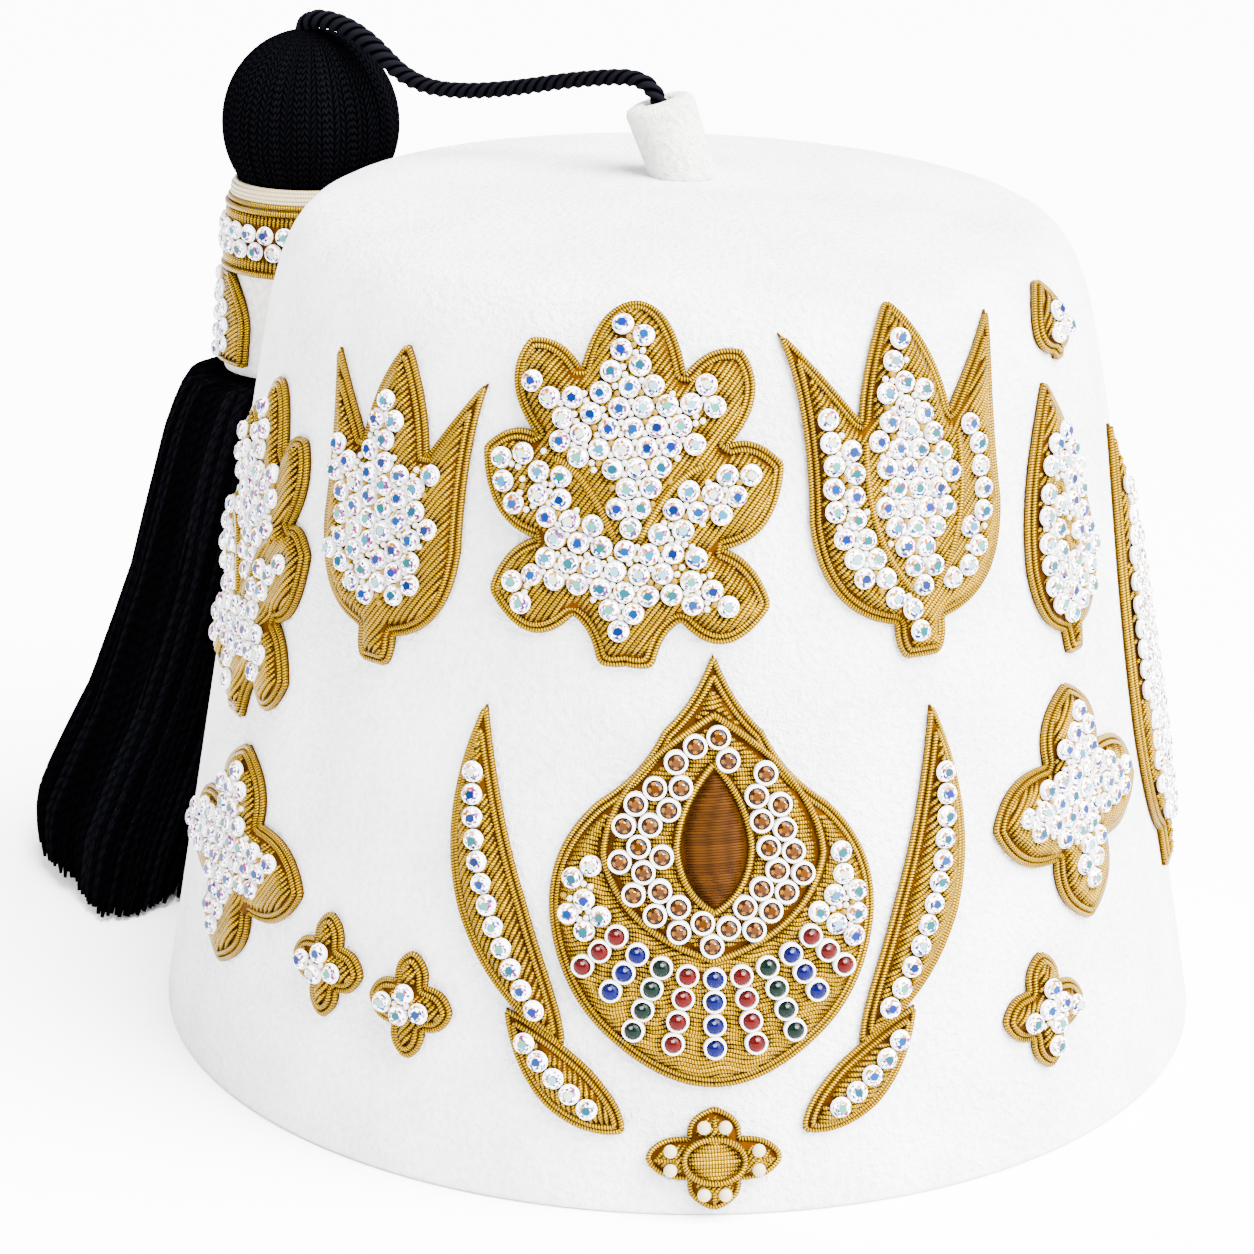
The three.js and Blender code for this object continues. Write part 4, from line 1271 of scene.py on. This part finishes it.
def wound_ball():
    """The ball over the sleeve: plied cords side by side from pole to pole."""
    work = Work()
    middle = np.array(BALL_MIDDLE)
    core_radius = BALL_RADIUS - 0.5
    piece = start_form(bpy.ops.mesh.primitive_uv_sphere_add, segments=32, ring_count=20, radius=core_radius)
    points, faces = forms_of(piece)
    points[:, 2] = np.maximum(points[:, 2], BALL_FOOT)
    work.add(beside_crown(points * BALL_TALL + middle), faces, BLACK_SLOT)
    rise = np.radians(np.linspace(-64, 86, 34))
    for k in range(BALL_CORDS):
        turn = 2 * math.pi * k / BALL_CORDS + 0.03 * np.sin(rise + k)
        reach = BALL_RADIUS - 0.35 + 0.08 * math.sin(2.4 * k)
        way = np.stack([np.cos(rise) * np.cos(turn), np.cos(rise) * np.sin(turn), np.sin(rise)], axis=1)
        path = reach * way * BALL_TALL
        place = beside_crown(middle + path)
        out = beside_crown(middle + path * 1.2) - place
        radii = math.pi * reach / BALL_CORDS * BALL_CORD_OVERLAP * np.clip(np.cos(rise), 0.3, 1)
        shade = 0.75 + 0.5 * chance.random()
        sweep(work, place, out, radii, BLACK_SLOT, shade=shade, winding=(-1) ** k)
    tuck_cord(work)
    return work.make("wound_ball", FINISHES), "tassel_ball"


# The fringe's oval sections, from the top. Columns: height, outer face, half width.
FRINGE = np.array([
    (95.6, 11.0, 12.5),
    (94.6, 17.6, 16.0),
    (91.0, 20.2, 17.4),
    (83.0, 23.6, 19.0),
    (69.0, 27.2, 22.0),
    (57.0, 30.0, 25.0),
    (46.0, 33.7, 28.5),
    (34.0, 38.4, 32.0),
    (22.0, 45.6, 36.5),
    (12.0, 51.0, 40.0),
    (1.5, 49.6, 41.0),
])
FRINGE_SHIFT = 5.5
FRINGE_SPREAD = 13  # how much further its inner front corner reaches at the foot
FRINGE_WRAP = 95  # it bends round the crown to this radius
FRINGE_CLEARANCE = 1.0
SIDE_SLOPE = 0.172
STRANDS = 230
STRAND_RADIUS = 0.68
STRAND_TAPER = 0.35
STRAND_LAYERS = ((0.975, STRANDS), (0.9, STRANDS // 2))  # how far out they hang, and how many
SKIN_REACH = 0.9
NECK_RADIUS = 10.6


def front_corner(turn):
    """1 at the corner between the crown and the fringe's front, fading to 0 a quarter turn away."""
    return 2 * np.clip(-np.cos(turn), 0, 1) * np.clip(np.sin(turn), 0, 1)


def on_fringe(turn, height, reach):
    """A point of the fringe in the tassel's frame: 1 is its outer face."""
    outer = np.interp(-height, -FRINGE[:, 0], FRINGE[:, 1])
    half = np.interp(-height, -FRINGE[:, 0], FRINGE[:, 2])
    middle = (outer + FRINGE_CLEARANCE - SIDE_SLOPE * height) / 2
    x = middle + reach * (outer - middle) * np.cos(turn)
    spread = FRINGE_SPREAD * np.clip(1 - height / 50, 0, 1) ** 2 * front_corner(turn)
    y = FRINGE_SHIFT + reach * half * np.sin(turn) + spread
    return np.stack([x - y**2 / (2 * FRINGE_WRAP), y, height], axis=1)


def hanging_fringe():
    """The fringe: twisted strands side by side that hang from the neck, with a core behind them."""
    work = Work()
    heights = np.concatenate([[95.2, 94.2, 92.0, 88.5], np.linspace(84, 4, 25)])
    for layer, (reach_out, count) in enumerate(STRAND_LAYERS):
        for k in range(count):
            turn = 2 * math.pi * (k + 0.5 * layer) / count
            drop = 2.6 - 2.1 * front_corner(turn) + 0.6 * chance.random()
            path_z = np.interp(heights, (heights[-1], heights[0]), (drop, heights[0]))
            fall = (95.2 - path_z) / 94
            sway = 0.05 * np.sin(4 * fall + 7 * math.sin(5.1 * k)) * fall + 0.012 * np.sin(23 * fall + k)
            reach = reach_out + 0.022 * math.sin(2.7 * k) * fall + 0.01 * np.sin(9 * fall + 3 * k)
            path = beside_crown(on_fringe(turn + sway * 0.35, path_z, reach))
            out = beside_crown(on_fringe(turn + sway * 0.35, path_z, reach * 1.1)) - path
            shade = 0.5 + 1.9 * chance.random() ** 3
            start = 3 * chance.random()
            sweep(work, path, out, STRAND_RADIUS, HANGING_SLOT, shade=shade, taper=STRAND_TAPER, start=start)
    turns = full_turn(48)
    levels = np.concatenate([[94.8, 93.4, 90.0], np.linspace(83, 7, 11)])
    rings = [beside_crown(on_fringe(turns, np.full(len(turns), z), SKIN_REACH)) for z in levels]
    work.add(*closed_skin(rings), HANGING_SLOT)
    neck_lift = NECK_RADIUS - SLEEVE_RADII[0]
    neck = [on_sleeve(turns, np.full(len(turns), z), neck_lift) for z in (127.4, 115.0, 103.0, 93.0)]
    work.add(*closed_skin(neck), HANGING_SLOT)
    return work.make("hanging_fringe", FINISHES), "tassel_fringe"


def closed_skin(rings):
    """Points and faces of a skin through rings, closed at both ends. The rings run from the top down."""
    size = len(rings[0])
    k = np.arange(size)
    rows = np.arange(len(rings) - 1)[:, None] * size
    a, b = rows + k, rows + (k + 1) % size
    sides = np.stack([a, a + size, b + size, b], axis=-1).reshape(-1, 4)
    return np.vstack(rings), [sides, k[None], (len(rings) - 1) * size + k[::-1][None]]


# The sleeve and its embroidery

def felt_sleeve():
    """The sleeve's felt wall, with rounded edges at its foot and its mouth."""
    work = Work()
    turns = full_turn(64)
    wall = [on_sleeve(turns, np.full(len(turns), float(z)), lift) for z, lift in (
        (130.2, -2.3), (130.4, -1.2), (130.2, -0.2), (129, 0), (122, 0), (114, 0), (106, 0), (97.4, 0),
        (96.4, -0.3), (96.2, -1.2), (96.4, -2.3),
    )]
    size = len(turns)
    k = np.arange(size)
    rows = np.arange(len(wall))[:, None]
    here, below = rows * size, (rows + 1) % len(wall) * size
    after_k = (k + 1) % size
    sides = np.stack([here + k, below + k, below + after_k, here + after_k], axis=-1).reshape(-1, 4)
    work.add(np.vstack(wall), [sides], 0)
    return work.make("felt_sleeve", [STEM_FELT]), "tassel_sleeve"


def round_sleeve(places, lift):
    """Lays points of (angle, height) on the sleeve."""
    return on_sleeve(places[:, 0], places[:, 1], lift)


def at_height(across, height):
    return np.stack([across, np.full(len(across), height)], axis=1)


CREAM_RINGS = ((129.4, 0.5), (130.1, 0.5), (130.8, 0.4), (131.4, 0.0))  # height, lift


def sleeve_top_threads():
    """A gold cord and four cream threads round the sleeve's mouth."""
    work = Work()
    turns = full_turn(90)
    lay_cord(work, at_height(turns, 128.6), round_sleeve, 0.8, sides=8)
    for height, lift in CREAM_RINGS:
        lay_cord(work, at_height(turns, height), round_sleeve, lift, 0.4, CREAM_SLOT, sides=8)
    return work.make("sleeve_top_threads", FINISHES), "sleeve_thread"


BAND_HALF_TURN = 142  # in degrees: it runs on behind the crown's edge
BAND_FOOT, BAND_TOP, BAND_LIFT = 115.8, 127.8, 1.0


def upright_stitches(work, foot, top):
    for degrees in np.arange(1 - BAND_HALF_TURN, BAND_HALF_TURN - 1, 3.1):
        stitch = np.stack([np.full(3, math.radians(degrees)), np.linspace(foot, top, 3)], axis=1)
        shade = 0.85 + 0.3 * chance.random()
        lay_cord(work, stitch, round_sleeve, 1.2, 0.36, LAID_SLOT, False, shade=shade, taper=THREAD_TAPER)


def add_band_padding(work):
    edge = 0.7 * BAND_LIFT
    section = [
        (BAND_FOOT, 0.2), (BAND_FOOT, edge), (BAND_FOOT + 1, BAND_LIFT),
        (BAND_TOP - 1, BAND_LIFT), (BAND_TOP, edge), (BAND_TOP, 0.2),
    ]
    heights, lifts = np.array(section).T
    turns = np.radians(np.linspace(-BAND_HALF_TURN, BAND_HALF_TURN, 60))
    points, faces = closed_skin([on_sleeve(np.full(len(section), turn), heights, lifts) for turn in turns])
    work.add(points, faces, GROUND_SLOT, False, None, GOLD_SHADOW)


def sleeve_band():
    """The band round the sleeve: two staggered rows of crystals between gold stitches and cords."""
    work = Work()
    add_band_padding(work)
    turns = np.radians(np.linspace(-BAND_HALF_TURN, BAND_HALF_TURN, 99))
    for height in (127.5, 116.0):
        lay_cord(work, at_height(turns, height), round_sleeve, 1.2, 0.58, closed=False, taper=0.8)
    upright_stitches(work, 125.0, 127.0)
    upright_stitches(work, 116.6, 118.8)
    reach = math.radians(BAND_HALF_TURN - 3) * SLEEVE_RADII[0]
    for row, height in enumerate((123.4, 120.3)):
        flat = at_height(np.arange(-reach + 1.7 * row, reach, 3.35), height)
        set_crystals(work, flat, sleeve_patch(0, 0), np.full(len(flat), BAND_LIFT))
    return work.make("sleeve_band_embroidery", FINISHES), "sleeve_band"


def sleeve_strip():
    """The strip under the band: two rows of crystals, and laid gold with a bowed cord on their right."""
    work = Work()
    lay = sleeve_patch(75, 106.6)
    ups = np.linspace(-8.2, 8.2, 24)

    def bowed(across, up):
        return np.stack([across - 5.2 * (np.clip(up + 2, 0, None) / 10.2) ** 2, up], axis=1)

    left, right = bowed(-7.0, ups), bowed(4.4, ups)
    outline = evened(np.vstack([right, left[::-1]]), OUTLINE_STEP, True)
    crystals = np.vstack([bowed(-4.6, np.arange(-6.4, 7.0, 3.3)), bowed(-1.7, np.arange(-4.8, 5.4, 3.3))])
    crystals = crystals[depth_in(crystals, outline) > 1.4]

    def low_lift(depth):
        return 0.5 + 0.7 * np.clip(depth / 2, 0, 1)

    add_pad(work, outline, lay, low_lift)
    lay_strips(work, outline, lay, 35, 0.6, off_stones(crystals), lift=low_lift)
    lay_cord(work, evened(inset(outline, 0.2), OUTLINE_STEP, True), lay, 0.8)
    lay_cord(work, bowed(3.2, ups), lay, 1.2, closed=False, taper=0.8)
    set_crystals(work, crystals, lay, np.full(len(crystals), 1.1))
    return work.make("sleeve_strip_embroidery", FINISHES), "sleeve_strip"


# Felt pieces, spun from their sections

def spin_section(section, steps):
    """Spins an open section of (radius, height) round the upright axis. Returns its points and faces."""
    piece = start_form(bpy.ops.mesh.primitive_circle_add, vertices=len(section), radius=1)
    for vertex, (radius, height) in zip(piece.data.vertices, section):
        vertex.co = (radius, 0, height)
    bpy.ops.object.mode_set(mode="EDIT")
    bpy.ops.mesh.select_mode(type="EDGE")
    bpy.ops.object.mode_set(mode="OBJECT")
    for edge in piece.data.edges:
        edge.select = set(edge.vertices) == {0, len(section) - 1}
    bpy.ops.object.mode_set(mode="EDIT")
    bpy.ops.mesh.delete(type="EDGE_FACE")
    bpy.ops.mesh.select_all(action="SELECT")
    bpy.ops.mesh.spin(steps=steps, angle=2 * math.pi, center=(0, 0, 0), axis=(0, 0, 1))
    bpy.ops.mesh.select_all(action="SELECT")
    bpy.ops.mesh.remove_doubles(threshold=0.0005)
    bpy.ops.mesh.select_all(action="SELECT")
    bpy.ops.mesh.normals_make_consistent(inside=False)
    return forms_of(piece)


RIM_ROUNDING = [(87.4, 0.6), (87.8, 0.12), (88.6, 0.0), (89.4, 0.12), (89.8, 0.6)]


def felt_face(side_slants, shoulder_slants, lift):
    """One face of the crown's felt, as (radius, height) from above the rim to the middle of the top."""
    face = [section_at(slant, lift) for slant in np.concatenate([side_slants, shoulder_slants])]
    return [(float(radius), float(height)) for radius, height in face[:-1]] + [(0.0, float(face[-1][1]))]


def felt_crown():
    """The crown: the felt's outer face, its rounded rim and its inner face."""
    middle = SECTION_SLANTS[-1]
    outer = felt_face(np.linspace(1.2, 104, 36), np.linspace(106, middle, 40), 0.0)
    inner = felt_face(np.linspace(1.2, 104, 24), np.linspace(108, middle, 26), -FELT)
    points, faces = spin_section(inner[::-1] + RIM_ROUNDING + outer, 224)
    work = Work()
    work.add(settle(points), faces, 0)
    return work.make("felt_crown", [WHITE_FELT]), "crown"


STEM_RADIUS = 5.75
STEM_HEIGHT = 11.7
STEM_HOLE = 2.3
STEM_HOLE_DEPTH = 3.6
STEM_ROUND = 1.3
STEM_FOOT = (-1.5, 0.5 + FORWARD, CROWN_HEIGHT + 0.45)
STEM_LEAN = (-4.2, 2.4)
STEM_TILT = 0.32  # its top is cut square to its lean


def felt_stem():
    """The stem on top: a rolled piece of felt with the cord's hole in it."""
    top, hole_foot = STEM_HEIGHT, STEM_HEIGHT - STEM_HOLE_DEPTH
    section = [(0, -0.9), (STEM_RADIUS + 0.1, -0.9)]
    section += [(STEM_RADIUS, height) for height in (0, 3, 6, 9, top - STEM_ROUND)]
    section += [(STEM_RADIUS - 0.4, top - 0.4), (STEM_RADIUS - STEM_ROUND, top)]
    section += [(STEM_HOLE + 0.6, top), (STEM_HOLE + 0.15, top - 0.25), (STEM_HOLE, top - 0.8)]
    section += [(STEM_HOLE, hole_foot), (0, hole_foot)]
    points, faces = spin_section(section, 48)
    part = np.maximum(points[:, 2:], 0) / STEM_HEIGHT
    points[:, 2:] += STEM_TILT * part * points[:, :1]
    points[:, :2] += part * STEM_LEAN
    work = Work()
    work.add(points + STEM_FOOT, faces, 0)
    return work.make("felt_stem", [STEM_FELT]), "stem"


# Light and floor

def add_light(name, kind, place, aim, power, size):
    bpy.ops.object.light_add(type=kind, location=place)
    lamp = bpy.context.object
    lamp.name = name
    lamp.data.energy = power
    if kind == "AREA":
        lamp.data.size = size
    else:
        lamp.data.angle = size
    lamp.rotation_euler = (Vector(aim) - Vector(place)).to_track_quat("-Z", "Y").to_euler()


def add_floor():
    bpy.ops.mesh.primitive_plane_add(size=6, location=(0, 0, 0))
    floor = bpy.context.object
    floor.name = "pale_floor"
    finish, _, _ = new_finish(
        "pale_floor", Base_Color=(0.92, 0.92, 0.925, 1), Roughness=0.9, Specular_IOR_Level=0.1,
    )
    floor.data.materials.append(finish)


def add_world():
    world = bpy.data.worlds.new("soft_studio")
    world.use_nodes = True
    background = world.node_tree.nodes["Background"]
    background.inputs["Color"].default_value = (1, 1, 1, 1)
    background.inputs["Strength"].default_value = 2.8
    bpy.context.scene.world = world


# The work, in order

CUT_STONE = cut_stone(1.5, 0.85)
AMBER_STONE = cut_stone(1.36, 1.0)
ROUND_STONE = squashed_ball(1.36, 0.95, 0.8, 16, 9)
PEARL_CUP_FORM = squashed_ball(CUP_RADIUS, 0.45, 0.5, 14, 6)
AMBER_CUP = ring_cup(1.85, 1.36)
FAN_CUP = ring_cup(1.78, 1.36)
BEAD_FORM = squashed_ball(0.52, 0.1, 0.9, 8, 5)
PEARL_FORM = squashed_ball(1.08, 0.0, 1.0, 14, 9)

add_camera()
cord, cord_path = twisted_cord()
pieces = [felt_crown(), felt_stem(), embroider_medallion(), embroider_seed(), embroider_drop()]
pieces += [embroider(name, *values) for name, values in MOTIFS.items()]
for size_name, leaf in LEAVES.items():
    pieces.append(embroider_leaf("leaf_left_" + size_name, -1, leaf))
    pieces.append(embroider_leaf("leaf_right_" + size_name, 1, leaf))
pieces += [felt_sleeve(), sleeve_top_threads(), sleeve_band(), sleeve_strip(), wound_ball(), hanging_fringe()]

for piece, solid_name in pieces:
    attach(piece, "root")
    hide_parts(solid_name)

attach(cord, "root")
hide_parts("tassel_cord")
running_length(cord_path)[-1] * MM

add_floor()
add_world()
add_light("main_light", "SUN", (0.5, -0.3, 1.0), (0, 0, 0.0), 38, math.radians(55))
add_light("fill_light", "AREA", (-0.9, -0.6, 0.7), (0, 0, 0.07), 12, 0.9)
add_light("right_light", "AREA", (0.9, -0.6, 0.5), (0, 0, 0.05), 60, 0.9)
